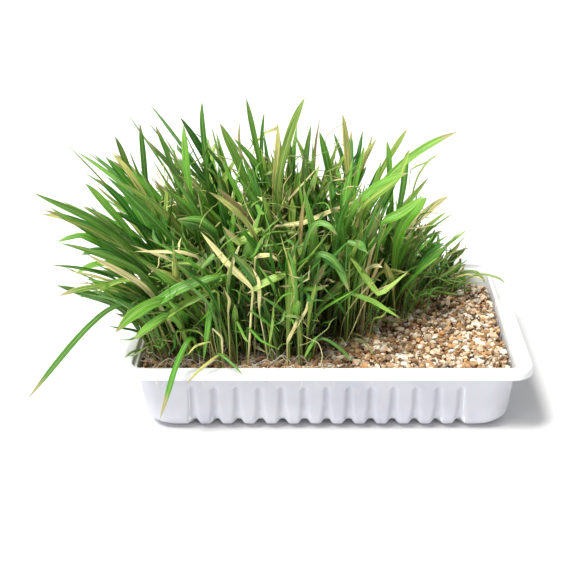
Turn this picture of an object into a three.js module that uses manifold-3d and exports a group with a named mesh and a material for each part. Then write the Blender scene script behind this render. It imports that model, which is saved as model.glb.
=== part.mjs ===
// Wheatgrass tray: a thin moulded tray with fluted sides, a bed of mineral granules,
// and a stand of wheatgrass that grows in bunches out of plain holes in the bed.
// Millimetres, +Z up. The origin is the middle of the flat underside of the tray.
// +X is the long side. The front of the tray, where the bed lies bare, faces -Y.

import * as THREE from "three";
import { mergeVertices } from "three/addons/utils/BufferGeometryUtils.js";
import Module from "manifold-3d";

const wasm = await Module();
wasm.setup();

// Tray
const trayLength = 230;
const trayWidth = 154;
const trayHeight = 43;
const sheet = 1.1; // thickness of the moulded sheet
const lipDrop = 4.8; // how far the edge of the rim turns down
const rimTop = 6.5; // from the outer edge of the rim to its inner edge
const rimRound = 1.3; // round of the outer edge of the rim
const lipLean = 0.3; // how far the turned-down lip leans in at its top
const ledgeDepth = 2.9; // from the rim down to a small shelf inside it
const ledgeStep = 0.7; // how far the short wall above the shelf leans in
const shelfFall = 0.4;
const wallInset = 8.15; // outside of the wall, in from the outer edge of the rim
const wallTaper = 0.07; // how much the wall leans in for each millimetre down
const footRadius = 10; // round between wall and underside
const rimCorner = 12; // corner radii, seen from above
const wallCorner = 10.5; // at the top of the wall
const shelfCorner = 7.3; // round the shelf and the short wall above it
const footCorner = 15.5;
const flatCorner = 11.5; // where the flutes have faded out under the tray
const cornerSteps = 4;

// Flutes: grooves pressed into the walls, from below the lip to the underside
const fluteSpacing = 12.6;
const flutesOnLongSide = 13;
const flutesOnShortSide = 7;
const fluteHalfWidth = 3.5;
const fluteHalfFloor = 1.2;
const fluteDepth = 1.5;
const fluteFootDepth = 2.5; // deeper round the foot, which scallops the bottom edge
const fluteTop = trayHeight - 7;
const fluteFullDepth = trayHeight - 10.5;
const fluteRunOut = 27; // where the grooves have faded out under the tray

// Bed of granules
const gap = 0.35; // between pieces that touch
const bedLevel = 36.2;
const bedDip = 9.5; // lower along the back, where less was filled in
const bedDipStart = 45;
const bedDipEnd = 67;
const bedFloorInset = 31; // flat underside of the bed, in from the rim
const bedFootHeight = 5.5; // the bed's round foot, which stays clear of the tray's
const bedFootRound = 3.2;
const grainSpacing = 5.7;
const grainSpacingInGrass = 15;
const grainHeight = 1.15;
const grainLeast = 0.35; // the lowest grain, as a share of the highest
const grainJitter = 2.6;

// Bunches of grass stand in rows, left of a line across the bed
const bunchSpacing = 32;
const bunchRows = [-48, -16, 16, 48];
const bunchFirst = -86;
const bunchRadius = 15.4;
const bunchSides = 10;
const bunchDepth = 14;
const bareEdgeAtFront = -9; // x of that line at y bareEdgeStart
const bareEdgeStart = -59;
const bareEdgeSlant = 0.88;
const sproutsInBunch = 11;
const seedsInBunch = 2;
const seedSize = [3.4, 1.6, 1.5];
const seedRise = 0.6;

// The stand, as heights above the bed
const standTop = 120;
const standLeftEdge = -60; // further left it gets lower by this much for each millimetre
const standLeftFall = 0.35;
const standRightEdge = 2;
const standRightFall = 1.2;
const standFrontEdge = -15;
const standFrontFall = 0.007;
const shortestShare = 0.42; // the shortest blade, as a share of the stand's height there

// Blades
const bladeThickness = 0.9;
const stalkShare = 0.42; // width of the stalk, as a share of the widest part
const stalkEnd = 0.12; // where the stalk starts to widen, and where the blade is widest
const widestAt = 0.56;
const shortBladeSteps = 3;
const bladeSteps = 4;
const longBladeSteps = 6;
const shortBlade = 70;
const longBlade = 112;
const leastWidth = 3.2;
const moreWidth = 2.8;
const fanX = 0.006; // lean of the stand for each millimetre from its middle
const fanY = 0.004;
const leanForward = 0.08;
const strayX = 0.52; // range of the lean by chance
const strayY = 0.44;
const rootSink = 2.6;
const rootMargin = 2.4; // from the edge of a bunch
const tries = 60;
const leadShifts = 14;
const leadShift = 1.5;
const leadLifts = 12;
const leadLift = 5;
const nowhere = -1;
const rimClearance = 1.6;
const rimReach = 13;
const bedClearance = 2.1;

// The blades that give the stand its outline: where each one grows, the point that it
// arches towards, its tip, and its greatest width.
const leadBlades = [
  // the long blade that arches out to the left, and those that hang over the front rim
  { root: [-82, -40], arch: [-103, -64, 134], tip: [-168, -72, 23], width: 3.9 },
  { root: [-70, -46], arch: [-67, -86, 104], tip: [-92, -87, 20], width: 3.8 },
  { root: [-52, -54], arch: [-54, -74, 64], tip: [-76, -85, 40], width: 1.8 },
  { root: [-60, -56], arch: [-66, -75, 64], tip: [-45, -82, 44], width: 1.6 },
  { root: [-4, -46], arch: [-8, -59, 72], tip: [15, -60, 42], width: 2.2 },
  { root: [-8, -50], arch: [0, -60, 76], tip: [-12, -62, 43], width: 2.2 },
  // upright and leaning a little to the left, along the top
  { root: [-58, 30], arch: [-55, 26, 126], tip: [-82, -2, 166], width: 5.0 },
  { root: [-62, 8], arch: [-74, 4, 140], tip: [-69, 0, 174], width: 3.9 },
  { root: [-64, -8], arch: [-82, -15, 133], tip: [-79, -18, 166], width: 4.9 },
  { root: [-70, 22], arch: [-90, 25, 130], tip: [-100, 24, 153], width: 3.5 },
  { root: [-34, 16], arch: [-43, 16, 134], tip: [-61, 8, 159], width: 5.7 },
  { root: [-28, 30], arch: [-41, 31, 144], tip: [-47, 28, 168], width: 4.1 },
  { root: [-44, 46], arch: [-56, 44, 131], tip: [-52, 42, 149], width: 2.1 },
  { root: [-30, 52], arch: [-47, 52, 123], tip: [-38, 52, 153], width: 2.7 },
  { root: [-24, 14], arch: [-36, 3, 140], tip: [-27, 4, 159], width: 4.0 },
  { root: [-22, -2], arch: [-42, -1, 143], tip: [-12, 4, 175], width: 5.6 },
  { root: [-92, 40], arch: [-120, 44, 105], tip: [-112, 40, 150], width: 4.2 },
  { root: [-96, 14], arch: [-113, 13, 134], tip: [-122, 8, 151], width: 4.0 },
  { root: [-86, 12], arch: [-100, -14, 143], tip: [-121, -8, 146], width: 3.9 },
  { root: [-84, -6], arch: [-101, -13, 114], tip: [-129, -16, 134], width: 4.5 },
  { root: [-92, -20], arch: [-104, -24, 120], tip: [-134, -28, 135], width: 5.0 },
  { root: [-40, -14], arch: [-67, -42, 141], tip: [-81, -38, 117], width: 6.6 },
  // the right half, lower and leaning to the right
  { root: [4, 30], arch: [9, 22, 119], tip: [-4, 22, 150], width: 5.3 },
  { root: [10, 8], arch: [18, 6, 130], tip: [9, 4, 166], width: 4.5 },
  { root: [-6, 30], arch: [-21, 37, 105], tip: [-9, 32, 123], width: 3.0 },
  { root: [0, 50], arch: [-9, 50, 95], tip: [0, 50, 118], width: 3.1 },
  { root: [42, 38], arch: [42, 37, 121], tip: [36, 40, 138], width: 4.2 },
  { root: [26, 36], arch: [26, 48, 133], tip: [50, 52, 142], width: 4.0 },
  { root: [38, 20], arch: [45, 20, 127], tip: [49, 20, 139], width: 4.7 },
  { root: [4, 4], arch: [20, -9, 158], tip: [74, -2, 157], width: 5.1 },
  { root: [2, -12], arch: [3, -25, 152], tip: [45, -26, 141], width: 5.0 },
  { root: [50, 48], arch: [50, 53, 137], tip: [70, 54, 125], width: 1.6 },
  { root: [42, 12], arch: [34, -4, 113], tip: [58, -4, 118], width: 7.5 },
  { root: [0, -14], arch: [17, -51, 144], tip: [22, -44, 101], width: 3.9 },
  { root: [-6, -24], arch: [-11, -64, 146], tip: [9, -56, 94], width: 4.3 },
  { root: [-22, -30], arch: [-10, -63, 168], tip: [6, -60, 118], width: 3.7 },
  { root: [-22, -46], arch: [-18, -51, 89], tip: [-18, -52, 109], width: 4.9 },
  { root: [20, -14], arch: [18, -38, 112], tip: [31, -38, 88], width: 2.8 },
  // thin, drying wisps in the back right corner
  { root: [62, 44], arch: [72, 44, 62], tip: [70, 44, 64], width: 1.9 },
  { root: [60, 24], arch: [51, 22, 95], tip: [71, 20, 88], width: 1.6 },
  { root: [64, 52], arch: [70, 52, 62], tip: [58, 52, 84], width: 1.6 },
  { root: [68, 50], arch: [80, 50, 66], tip: [92, 50, 63], width: 1.6 },
  { root: [66, 34], arch: [74, 29, 59], tip: [88, 28, 62], width: 1.6 },
  { root: [64, 40], arch: [100, 36, 69], tip: [101, 32, 47], width: 2.3 },
  { root: [66, 30], arch: [103, 14, 57], tip: [110, 14, 54], width: 1.6 },
  // the left side, fanning out low over the rim
  { root: [-96, 0], arch: [-128, -13, 128], tip: [-163, -14, 112], width: 3.4 },
  { root: [-96, -14], arch: [-127, -41, 129], tip: [-140, -40, 109], width: 3.9 },
  { root: [-98, -10], arch: [-128, -20, 120], tip: [-154, -22, 98], width: 3.4 },
  { root: [-90, -30], arch: [-120, -48, 133], tip: [-134, -50, 102], width: 4.4 },
  { root: [-94, -34], arch: [-114, -60, 137], tip: [-135, -62, 95], width: 3.8 },
  { root: [-90, -44], arch: [-105, -67, 119], tip: [-144, -70, 86], width: 3.7 },
  { root: [-84, -46], arch: [-95, -69, 129], tip: [-123, -72, 89], width: 3.2 },
  { root: [-78, -48], arch: [-77, -71, 120], tip: [-113, -82, 71], width: 6.9 },
  { root: [-73, -52], arch: [-83, -70, 104], tip: [-103, -80, 65], width: 4.8 },
  { root: [-92, -52], arch: [-105, -64, 108], tip: [-109, -68, 74], width: 1.6 },
  { root: [-96, -48], arch: [-105, -62, 52], tip: [-110, -76, 52], width: 1.6 },
];

// The same numbers for the same seed, each from 0 to 1.
function randomFrom(seed) {
  let state = (seed * 7919 + 104729) % 2147483647;
  return () => {
    state = (state * 16807) % 2147483647;
    return state / 2147483647;
  };
}

function geometryFrom(points, triangles) {
  const geometry = new THREE.BufferGeometry();
  geometry.setAttribute("position", new THREE.Float32BufferAttribute(points.flat(), 3));
  geometry.setIndex(triangles.flat());
  geometry.computeVertexNormals();
  return geometry;
}

function toSolid(source) {
  let geometry = source.clone();
  geometry.deleteAttribute("normal");
  geometry.deleteAttribute("uv");
  geometry = mergeVertices(geometry);
  return new wasm.Manifold(
    new wasm.Mesh({
      numProp: 3,
      vertProperties: new Float32Array(geometry.attributes.position.array),
      triVerts: new Uint32Array(geometry.index.array),
    })
  );
}

function fromSolid(solid) {
  const mesh = solid.getMesh();
  const geometry = new THREE.BufferGeometry();
  geometry.setAttribute("position", new THREE.BufferAttribute(mesh.vertProperties, 3));
  geometry.setIndex(new THREE.BufferAttribute(mesh.triVerts, 1));
  geometry.computeVertexNormals();
  return geometry;
}

// Rings: closed loops round the tray, each point with its place along the loop

// How far a point at this distance from the middle of a side is pressed in, from 0 to 1.
function fluteAt(along, count) {
  const reach = (fluteSpacing * (count - 1)) / 2;
  const nearest = Math.round((along + reach) / fluteSpacing);
  const index = Math.min(Math.max(nearest, 0), count - 1);
  const away = Math.abs(along + reach - index * fluteSpacing);
  if (away <= fluteHalfFloor) return 1;
  if (away >= fluteHalfWidth) return 0;
  return (fluteHalfWidth - away) / (fluteHalfWidth - fluteHalfFloor);
}

// The points that a groove needs across it, as distances from its middle: its two edges
// and the two edges of its floor, or just its middle where it begins and ends.
const acrossGroove = [-fluteHalfWidth, -fluteHalfFloor, fluteHalfFloor, fluteHalfWidth];
const grooveEnd = [0];

function fluteStations(count, offsets) {
  const stations = [];
  for (let i = 0; i < count; i += 1) {
    const middle = (i - (count - 1) / 2) * fluteSpacing;
    for (const offset of offsets) stations.push(middle + offset);
  }
  return stations;
}

// A key says how far along the loop a point is: whole numbers count the sides. The flutes
// of a side come first, then its corner.
const sideMiddle = 0.3;
const keyPerMillimetre = 0.002;
const cornerStart = 0.6;
const cornerSpan = 0.35;
const keysInLoop = 4;

function ring({ inset, z, corner, pressIn = 0, lift = 0, grooves = [] }) {
  const halfX = trayLength / 2 - inset;
  const halfY = trayWidth / 2 - inset;
  const points = [];
  for (let side = 0; side < 4; side += 1) {
    const onLongSide = side % 2 === 0;
    const half = onLongSide ? halfX : halfY;
    const out = onLongSide ? halfY : halfX;
    const turn = (side * Math.PI) / 2;
    const place = (along, outwards, up, key) => {
      const x = along * Math.cos(turn) + outwards * Math.sin(turn);
      const y = along * Math.sin(turn) - outwards * Math.cos(turn);
      points.push({ at: [x, y, up], key: side + key });
    };
    const count = onLongSide ? flutesOnLongSide : flutesOnShortSide;
    for (const along of fluteStations(count, grooves)) {
      const pressed = fluteAt(along, count);
      const key = sideMiddle + along * keyPerMillimetre;
      place(along, out - pressIn * pressed, z + lift * pressed, key);
    }
    for (let step = 0; step <= cornerSteps; step += 1) {
      const angle = ((Math.PI / 2) * step) / cornerSteps;
      const along = half - corner + corner * Math.sin(angle);
      const outwards = out - corner + corner * Math.cos(angle);
      place(along, outwards, z, cornerStart + (cornerSpan * step) / cornerSteps);
    }
  }
  return points;
}

// Joins loops of any number of points, one after the other, and closes both ends.
function stackRings(rings) {
  const points = [];
  const triangles = [];
  const starts = rings.map((loop) => {
    const start = points.length;
    for (const point of loop) points.push(point.at);
    return start;
  });
  for (let i = 0; i + 1 < rings.length; i += 1) {
    const a = rings[i];
    const b = rings[i + 1];
    const keyA = (n) => a[n % a.length].key + (n < a.length ? 0 : keysInLoop);
    const keyB = (n) => b[n % b.length].key + (n < b.length ? 0 : keysInLoop);
    let ia = 0;
    let ib = 0;
    while (ia < a.length || ib < b.length) {
      const middleA = ia < a.length ? keyA(ia) + keyA(ia + 1) : Infinity;
      const middleB = ib < b.length ? keyB(ib) + keyB(ib + 1) : Infinity;
      const hereA = starts[i] + (ia % a.length);
      const hereB = starts[i + 1] + (ib % b.length);
      if (middleA <= middleB) {
        triangles.push([hereA, starts[i] + ((ia + 1) % a.length), hereB]);
        ia += 1;
      } else {
        triangles.push([hereA, starts[i + 1] + ((ib + 1) % b.length), hereB]);
        ib += 1;
      }
    }
  }
  const close = (loop, start, forwards) => {
    const middle = points.length;
    points.push([0, 0, loop[0].at[2]]);
    for (let i = 0; i < loop.length; i += 1) {
      const here = start + i;
      const next = start + ((i + 1) % loop.length);
      triangles.push(forwards ? [middle, here, next] : [middle, next, here]);
    }
  };
  close(rings[0], starts[0], false);
  close(rings.at(-1), starts.at(-1), true);
  return geometryFrom(points, triangles);
}

// Tray

function outerInset(z) {
  return wallInset + wallTaper * (trayHeight - lipDrop - z);
}

function cornerAt(z) {
  const down = (trayHeight - z) / trayHeight;
  return wallCorner + (footCorner - wallCorner) * down;
}

// The fluted stretch of the wall, top to bottom, at a depth under the outside surface.
function wallRings(under) {
  const footInset = outerInset(footRadius);
  const bend = Math.SQRT1_2 * (footRadius - under);
  const top = { inset: outerInset(fluteTop) + under, z: fluteTop };
  const rows = [
    { inset: outerInset(fluteFullDepth) + under, z: fluteFullDepth, pressIn: fluteDepth },
    { inset: footInset + under, z: footRadius, pressIn: fluteDepth },
    {
      inset: footInset + footRadius - bend,
      z: footRadius - bend,
      pressIn: fluteFootDepth * Math.SQRT1_2,
      lift: fluteFootDepth * Math.SQRT1_2,
    },
    { inset: footInset + footRadius, z: under, lift: fluteFootDepth },
  ];
  return [
    ring({ ...top, corner: cornerAt(top.z), grooves: grooveEnd }),
    ...rows.map((row) => ring({ ...row, corner: cornerAt(row.z), grooves: acrossGroove })),
    ring({ inset: fluteRunOut, z: under, corner: flatCorner, grooves: grooveEnd }),
  ];
}

// From the middle of the underside, up the outside, over the rim and down the inside.
function makeTray() {
  const top = trayHeight;
  const lipBottom = top - lipDrop;
  const shelf = top - ledgeDepth;
  const lowShelf = shelf - shelfFall;
  const plain = (inset, z, corner) => ring({ inset, z, corner });
  const rim = [
    plain(outerInset(lipBottom), lowShelf - sheet, shelfCorner + sheet),
    plain(rimTop + ledgeStep - sheet, shelf - sheet, shelfCorner + sheet),
    plain(rimTop - sheet, top - sheet, shelfCorner + sheet),
    plain(sheet + lipLean, top - sheet, rimCorner - sheet),
    plain(sheet, lipBottom, rimCorner - sheet),
    plain(0, lipBottom, rimCorner),
    plain(lipLean, top - rimRound / 2, rimCorner),
    plain(rimRound, top, rimCorner - rimRound),
    plain(rimTop, top, shelfCorner),
    plain(rimTop + ledgeStep, shelf, shelfCorner),
    plain(outerInset(lowShelf) + sheet, lowShelf, shelfCorner),
  ];
  return stackRings([...wallRings(0).reverse(), ...rim, ...wallRings(sheet)]);
}

// Bed

function bedHeight(y) {
  const t = Math.min(Math.max((y - bedDipStart) / (bedDipEnd - bedDipStart), 0), 1);
  return bedLevel - bedDip * t * t * (3 - 2 * t);
}

// Where the columns of grains stand: close together where the bed lies bare.
function grainColumns() {
  const columns = [];
  let x = -trayLength / 2;
  while (x < trayLength / 2) {
    columns.push(x);
    x += x < bareEdgeAtFront ? grainSpacingInGrass : grainSpacing;
  }
  return [...columns, trayLength / 2];
}

// A slab whose top is a field of coarse grains: a jittered grid that rises and falls.
function grainSlab(bottom) {
  const random = randomFrom(5);
  const places = grainColumns();
  const columns = places.length - 1;
  const rows = Math.round(trayWidth / grainSpacing);
  const points = [];
  const triangles = [];
  for (let row = 0; row <= rows; row += 1) {
    for (let column = 0; column <= columns; column += 1) {
      const inner = row > 0 && row < rows && column > 0 && column < columns;
      const jitter = inner ? grainJitter : 0;
      const x = places[column] + jitter * (random() - 0.5);
      const y = (row / rows - 0.5) * trayWidth + jitter * (random() - 0.5);
      const crest = (row + column) % 2 === 0 ? grainHeight : -grainHeight;
      points.push([x, y, bedHeight(y) + crest * (grainLeast + (1 - grainLeast) * random())]);
    }
  }
  const width = columns + 1;
  for (let row = 0; row < rows; row += 1) {
    for (let column = 0; column < columns; column += 1) {
      const a = row * width + column;
      const corners = [a, a + 1, a + width + 1, a + width];
      const slant = (row + column) % 2 === 0;
      const [p, q, r, s] = slant ? corners : [...corners.slice(1), corners[0]];
      triangles.push([p, q, r], [p, r, s]);
    }
  }
  const rim = [];
  for (let i = 0; i < columns; i += 1) rim.push(i);
  for (let i = 0; i < rows; i += 1) rim.push(i * width + columns);
  for (let i = columns; i > 0; i -= 1) rim.push(rows * width + i);
  for (let i = rows; i > 0; i -= 1) rim.push(i * width);
  const base = points.length;
  for (const index of rim) points.push([points[index][0], points[index][1], bottom]);
  const middle = points.length;
  points.push([0, 0, bottom]);
  rim.forEach((index, i) => {
    const next = (i + 1) % rim.length;
    triangles.push([index, base + i, base + next], [index, base + next, rim[next]]);
    triangles.push([middle, base + next, base + i]);
  });
  return toSolid(geometryFrom(points, triangles));
}

// The space inside the tray, clear of the flutes.
function trayInside() {
  const into = sheet + fluteDepth + gap;
  const footInset = outerInset(footRadius) + into;
  const topInset = outerInset(bedLevel) + into;
  const topCorner = cornerAt(bedLevel) - 1;
  const rings = [
    ring({ inset: bedFloorInset, z: sheet + gap, corner: 9.5 }),
    ring({ inset: fluteRunOut - 3, z: bedFootHeight - 1.4, corner: flatCorner }),
    ring({ inset: footInset + bedFootRound, z: bedFootHeight, corner: flatCorner + 1 }),
    ring({ inset: footInset, z: footRadius + 1, corner: cornerAt(footRadius) }),
    ring({ inset: topInset, z: bedLevel, corner: topCorner }),
    ring({ inset: topInset, z: trayHeight, corner: topCorner }),
  ];
  return toSolid(stackRings(rings));
}

// An upright plug with bunchSides sides, from z0 to z1. Every point of its top is higher
// or lower by what grain() gives, so that it is as rough as the bed round it.
function plug({ x, y, z0, z1, radius, grain = () => 0 }) {
  const points = [[x, y, z0], [x, y, z1 + grain()]];
  const triangles = [];
  for (let i = 0; i < bunchSides; i += 1) {
    const angle = (2 * Math.PI * i) / bunchSides;
    const [px, py] = [x + radius * Math.cos(angle), y + radius * Math.sin(angle)];
    points.push([px, py, z0], [px, py, z1 + grain()]);
    const low = 2 + 2 * i;
    const next = 2 + 2 * ((i + 1) % bunchSides);
    triangles.push([0, next, low], [1, low + 1, next + 1]);
    triangles.push([low, next, next + 1], [low, next + 1, low + 1]);
  }
  return toSolid(geometryFrom(points, triangles));
}

function bunchPlaces() {
  const places = [];
  for (const y of bunchRows) {
    const edge = bareEdgeAtFront + (y - bareEdgeStart) * bareEdgeSlant;
    for (let x = bunchFirst; x < edge; x += bunchSpacing) places.push({ x, y, z: bedHeight(y) });
  }
  return places;
}

function makeBed(places) {
  let bed = grainSlab(0).intersect(trayInside());
  for (const { x, y, z } of places) {
    const z0 = z - bunchDepth - gap;
    bed = bed.subtract(plug({ x, y, z0, z1: trayHeight, radius: bunchRadius + gap }));
  }
  return fromSolid(bed);
}

// Grass

// Width along a blade, as a share of its greatest: a stalk that opens, then a long point.
function bladeWidthAt(s) {
  if (s > widestAt) return Math.cos(((s - widestAt) / (1 - widestAt)) * (Math.PI / 2)) ** 0.7;
  const open = Math.max((s - stalkEnd) / (widestAt - stalkEnd), 0);
  return stalkShare + (1 - stalkShare) * Math.sin(open * (Math.PI / 2)) ** 2;
}

function bezier(blade, s) {
  const a = blade.from.clone().multiplyScalar((1 - s) ** 2);
  const b = blade.arch.clone().multiplyScalar(2 * s * (1 - s));
  return a.add(b).add(blade.tip.clone().multiplyScalar(s * s));
}

// A three-sided blade along its curve, pointed at the tip. Extra makes it fatter all
// round, for the test that keeps blades apart.
function bladeShape(blade, extra = 0) {
  const points = [];
  const triangles = [];
  const { steps } = blade;
  for (let i = 0; i <= steps; i += 1) {
    const s = i / steps;
    const here = bezier(blade, s);
    const ahead = bezier(blade, Math.min(s + 0.02, 1));
    const behind = bezier(blade, Math.max(s - 0.02, 0));
    const along = ahead.sub(behind).normalize();
    const across = along.clone().cross(blade.faces).normalize();
    const up = across.clone().cross(along).normalize();
    if (i === steps) {
      points.push(here.addScaledVector(along, extra).toArray());
      break;
    }
    const half = (blade.width * bladeWidthAt(s)) / 2 + extra * 1.5;
    const keel = here.clone().addScaledVector(up, -bladeThickness - extra);
    const crest = here.clone().addScaledVector(up, extra);
    points.push(
      crest.clone().addScaledVector(across, half).toArray(),
      crest.clone().addScaledVector(across, -half).toArray(),
      keel.toArray()
    );
  }
  triangles.push([0, 1, 2]);
  for (let i = 0; i + 1 < steps; i += 1) {
    for (let k = 0; k < 3; k += 1) {
      const a = i * 3 + k;
      const b = i * 3 + ((k + 1) % 3);
      triangles.push([a, a + 3, b + 3], [a, b + 3, b]);
    }
  }
  const last = (steps - 1) * 3;
  for (let k = 0; k < 3; k += 1) triangles.push([last + k, steps * 3, last + ((k + 1) % 3)]);
  return { points, triangles, box: new THREE.Box3().setFromArray(points.flat()) };
}

const ray = new THREE.Ray();
const hit = new THREE.Vector3();
const corners = [new THREE.Vector3(), new THREE.Vector3(), new THREE.Vector3()];
const end = new THREE.Vector3();

// Whether an edge of one shape goes through a face of the other.
function pierces(shape, other) {
  for (const [i, j, k] of shape.triangles) {
    for (const [p, q] of [[i, j], [j, k], [k, i]]) {
      ray.origin.fromArray(shape.points[p]);
      end.fromArray(shape.points[q]);
      const length = ray.origin.distanceTo(end);
      ray.direction.copy(end).sub(ray.origin).divideScalar(length);
      if (!ray.intersectsBox(other.box)) continue;
      for (const triangle of other.triangles) {
        triangle.forEach((index, n) => corners[n].fromArray(other.points[index]));
        const met = ray.intersectTriangle(corners[0], corners[1], corners[2], false, hit);
        if (met && ray.origin.distanceTo(hit) <= length) return true;
      }
    }
  }
  return false;
}

function meets(shape, other) {
  if (!shape.box.intersectsBox(other.box)) return false;
  return pierces(shape, other) || pierces(other, shape);
}

// Whether a blade runs into the rim of the tray, or into the bed round its bunch.
function fouls(blade, place) {
  const clearance = rimClearance + blade.width / 2;
  for (let s = 0; s <= 1; s += 0.04) {
    const p = bezier(blade, s);
    const outX = Math.abs(p.x) - trayLength / 2;
    const outY = Math.abs(p.y) - trayWidth / 2;
    const nearRim = outX > -rimReach || outY > -rimReach;
    const overTray = outX < clearance && outY < clearance;
    if (overTray && nearRim && p.z < trayHeight + clearance) return true;
    const overBunch = Math.hypot(p.x - place.x, p.y - place.y) < bunchRadius - 1;
    if (overTray && !overBunch && p.z < bedLevel + bedClearance) return true;
  }
  return false;
}

function finishBlade(blade, place) {
  const root = new THREE.Vector2(blade.root[0] - place.x, blade.root[1] - place.y);
  root.clampLength(0, bunchRadius - rootMargin);
  blade.from = new THREE.Vector3(place.x + root.x, place.y + root.y, place.z - rootSink);
  const length = blade.from.distanceTo(blade.arch) + blade.arch.distanceTo(blade.tip);
  blade.steps = length > longBlade ? longBladeSteps : bladeSteps;
  if (length < shortBlade) blade.steps = shortBladeSteps;
  blade.shape = bladeShape(blade);
  return blade;
}

const leadFaces = new THREE.Vector3(0, -0.9, 0.43); // the side that their top turns to

function leadBlade({ root, arch, tip, width }, place) {
  const blade = { root, width, arch: new THREE.Vector3(...arch), tip: new THREE.Vector3(...tip) };
  blade.faces = leadFaces;
  return finishBlade(blade, place);
}

// How tall the stand is above the bed: lower at the left edge, along the front, and
// above all towards the right.
function standHeight(x, y) {
  const leftFall = Math.max(standLeftEdge - x, 0) * standLeftFall;
  const rightFall = Math.max(x - standRightEdge, 0) * standRightFall;
  const front = 1 - Math.max(standFrontEdge - y, 0) * standFrontFall;
  return (standTop - leftFall - rightFall) * front;
}

// A blade of the fill: it leans with the fan of the whole stand, and a little at random.
function fillBlade(place, random) {
  const away = (bunchRadius - rootMargin) * Math.sqrt(random());
  const turn = 2 * Math.PI * random();
  const root = [place.x + away * Math.cos(turn), place.y + away * Math.sin(turn)];
  const height = standHeight(...root) * (shortestShare + (1 - shortestShare) * random());
  const leanX = fanX * root[0] + strayX * (random() - 0.5);
  const leanY = fanY * root[1] - leanForward + strayY * (random() - 0.5);
  const early = 0.15 + 0.2 * random(); // how much of the lean the middle of the blade has
  const rise = 0.72 + 0.36 * random(); // how high that middle pulls the blade
  const width = leastWidth + moreWidth * random();
  const facing = 2 * Math.PI * random();
  const [x, y] = root;
  const blade = {
    root,
    width,
    arch: new THREE.Vector3(
      x + height * leanX * early,
      y + height * leanY * early,
      place.z + height * rise
    ),
    tip: new THREE.Vector3(x + height * leanX, y + height * leanY, place.z + height),
    faces: new THREE.Vector3(Math.cos(facing), Math.sin(facing), 0.3).normalize(),
  };
  return finishBlade(blade, place);
}

// A swollen seed, half sunk in the top of a bunch.
function seed(place, random) {
  const geometry = new THREE.OctahedronGeometry(1);
  geometry.scale(...seedSize);
  geometry.rotateZ(Math.PI * random());
  const away = 4 + 8 * random();
  const turn = 2 * Math.PI * random();
  const x = place.x + away * Math.cos(turn);
  const y = place.y + away * Math.sin(turn);
  geometry.translate(x, y, place.z + seedRise);
  return toSolid(geometry);
}

function nearestPlace(root, places) {
  const distance = (place) => Math.hypot(place.x - root[0], place.y - root[1]);
  return places.reduce((best, place) => (distance(place) < distance(best) ? place : best));
}

// Places every blade. Those of the outline come first, moved a little forwards or back
// until they are clear, at least of the other bunches. The fill follows, drawn again
// until a blade is clear of all others. One that finds no room is left out.
function growBlades(places) {
  const grown = places.map(() => []);
  const standing = [];
  const isClear = (blade, own) => {
    const fat = bladeShape(blade, gap);
    return standing.every(({ shape, bunch }) => bunch === own || !meets(fat, shape));
  };
  const add = (blade, bunch) => {
    grown[bunch].push(blade);
    standing.push({ shape: blade.shape, bunch });
  };
  for (const lead of leadBlades) {
    const place = nearestPlace(lead.root, places);
    const bunch = places.indexOf(place);
    const blade = leadBlade(lead, place);
    for (let i = 0; i < leadLifts && fouls(blade, place); i += 1) blade.arch.z += leadLift;
    if (fouls(blade, place)) console.error("low lead blade at", lead.tip);
    for (let shift = 0; shift < leadShifts; shift += 1) {
      const step = (shift % 2 === 0 ? 1 : -1) * Math.ceil(shift / 2) * leadShift;
      blade.arch.y = lead.arch[1] + step;
      blade.tip.y = lead.tip[1] + step;
      blade.shape = bladeShape(blade);
      if (isClear(blade, nowhere)) break;
    }
    if (isClear(blade, bunch)) add(blade, bunch);
    else console.error("no room for the lead blade at", lead.tip);
  }
  places.forEach((place, bunch) => {
    for (let i = 0; i < sproutsInBunch; i += 1) {
      const random = randomFrom(bunch * 100 + i + 1);
      for (let attempt = 0; attempt < tries; attempt += 1) {
        const blade = fillBlade(place, random);
        if (fouls(blade, place) || !isClear(blade, nowhere)) continue;
        add(blade, bunch);
        break;
      }
    }
  });
  return grown;
}

function makeBunch(place, blades, index) {
  const random = randomFrom(index + 900);
  let side = 1;
  const grain = () => {
    side = -side;
    return side * grainHeight * (grainLeast + (1 - grainLeast) * random());
  };
  const { x, y, z } = place;
  let bunch = plug({ x, y, z0: z - bunchDepth, z1: z, radius: bunchRadius, grain });
  for (let i = 0; i < seedsInBunch; i += 1) bunch = bunch.add(seed(place, random));
  for (const blade of blades) {
    bunch = bunch.add(toSolid(geometryFrom(blade.shape.points, blade.shape.triangles)));
  }
  // Where blades cross they can shut in a small hollow, which is filled here.
  const [body] = bunch.decompose().sort((a, b) => b.volume() - a.volume());
  return fromSolid(body);
}

// The parts together

const materials = {
  plastic: { color: 0xf4f5f8, roughness: 0.35, metalness: 0 },
  granules: { color: 0xc8a877, roughness: 0.95, metalness: 0 },
  grass: { color: 0x5c9632, roughness: 0.5, metalness: 0 },
};

function named(name, geometry, look) {
  const mesh = new THREE.Mesh(geometry, new THREE.MeshStandardMaterial(look));
  mesh.name = name;
  return mesh;
}

const places = bunchPlaces();
const wheatgrassTray = new THREE.Group();
wheatgrassTray.name = "wheatgrass_tray";
wheatgrassTray.add(named("tray", makeTray(), materials.plastic));
wheatgrassTray.add(named("granule_bed", makeBed(places), materials.granules));
growBlades(places).forEach((blades, i) => {
  const name = `grass_bunch_${String(i + 1).padStart(2, "0")}`;
  wheatgrassTray.add(named(name, makeBunch(places[i], blades, i), materials.grass));
});

export default wheatgrassTray;
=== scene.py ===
import math

import bpy
import numpy as np
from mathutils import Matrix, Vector
from mathutils.bvhtree import BVHTree


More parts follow.
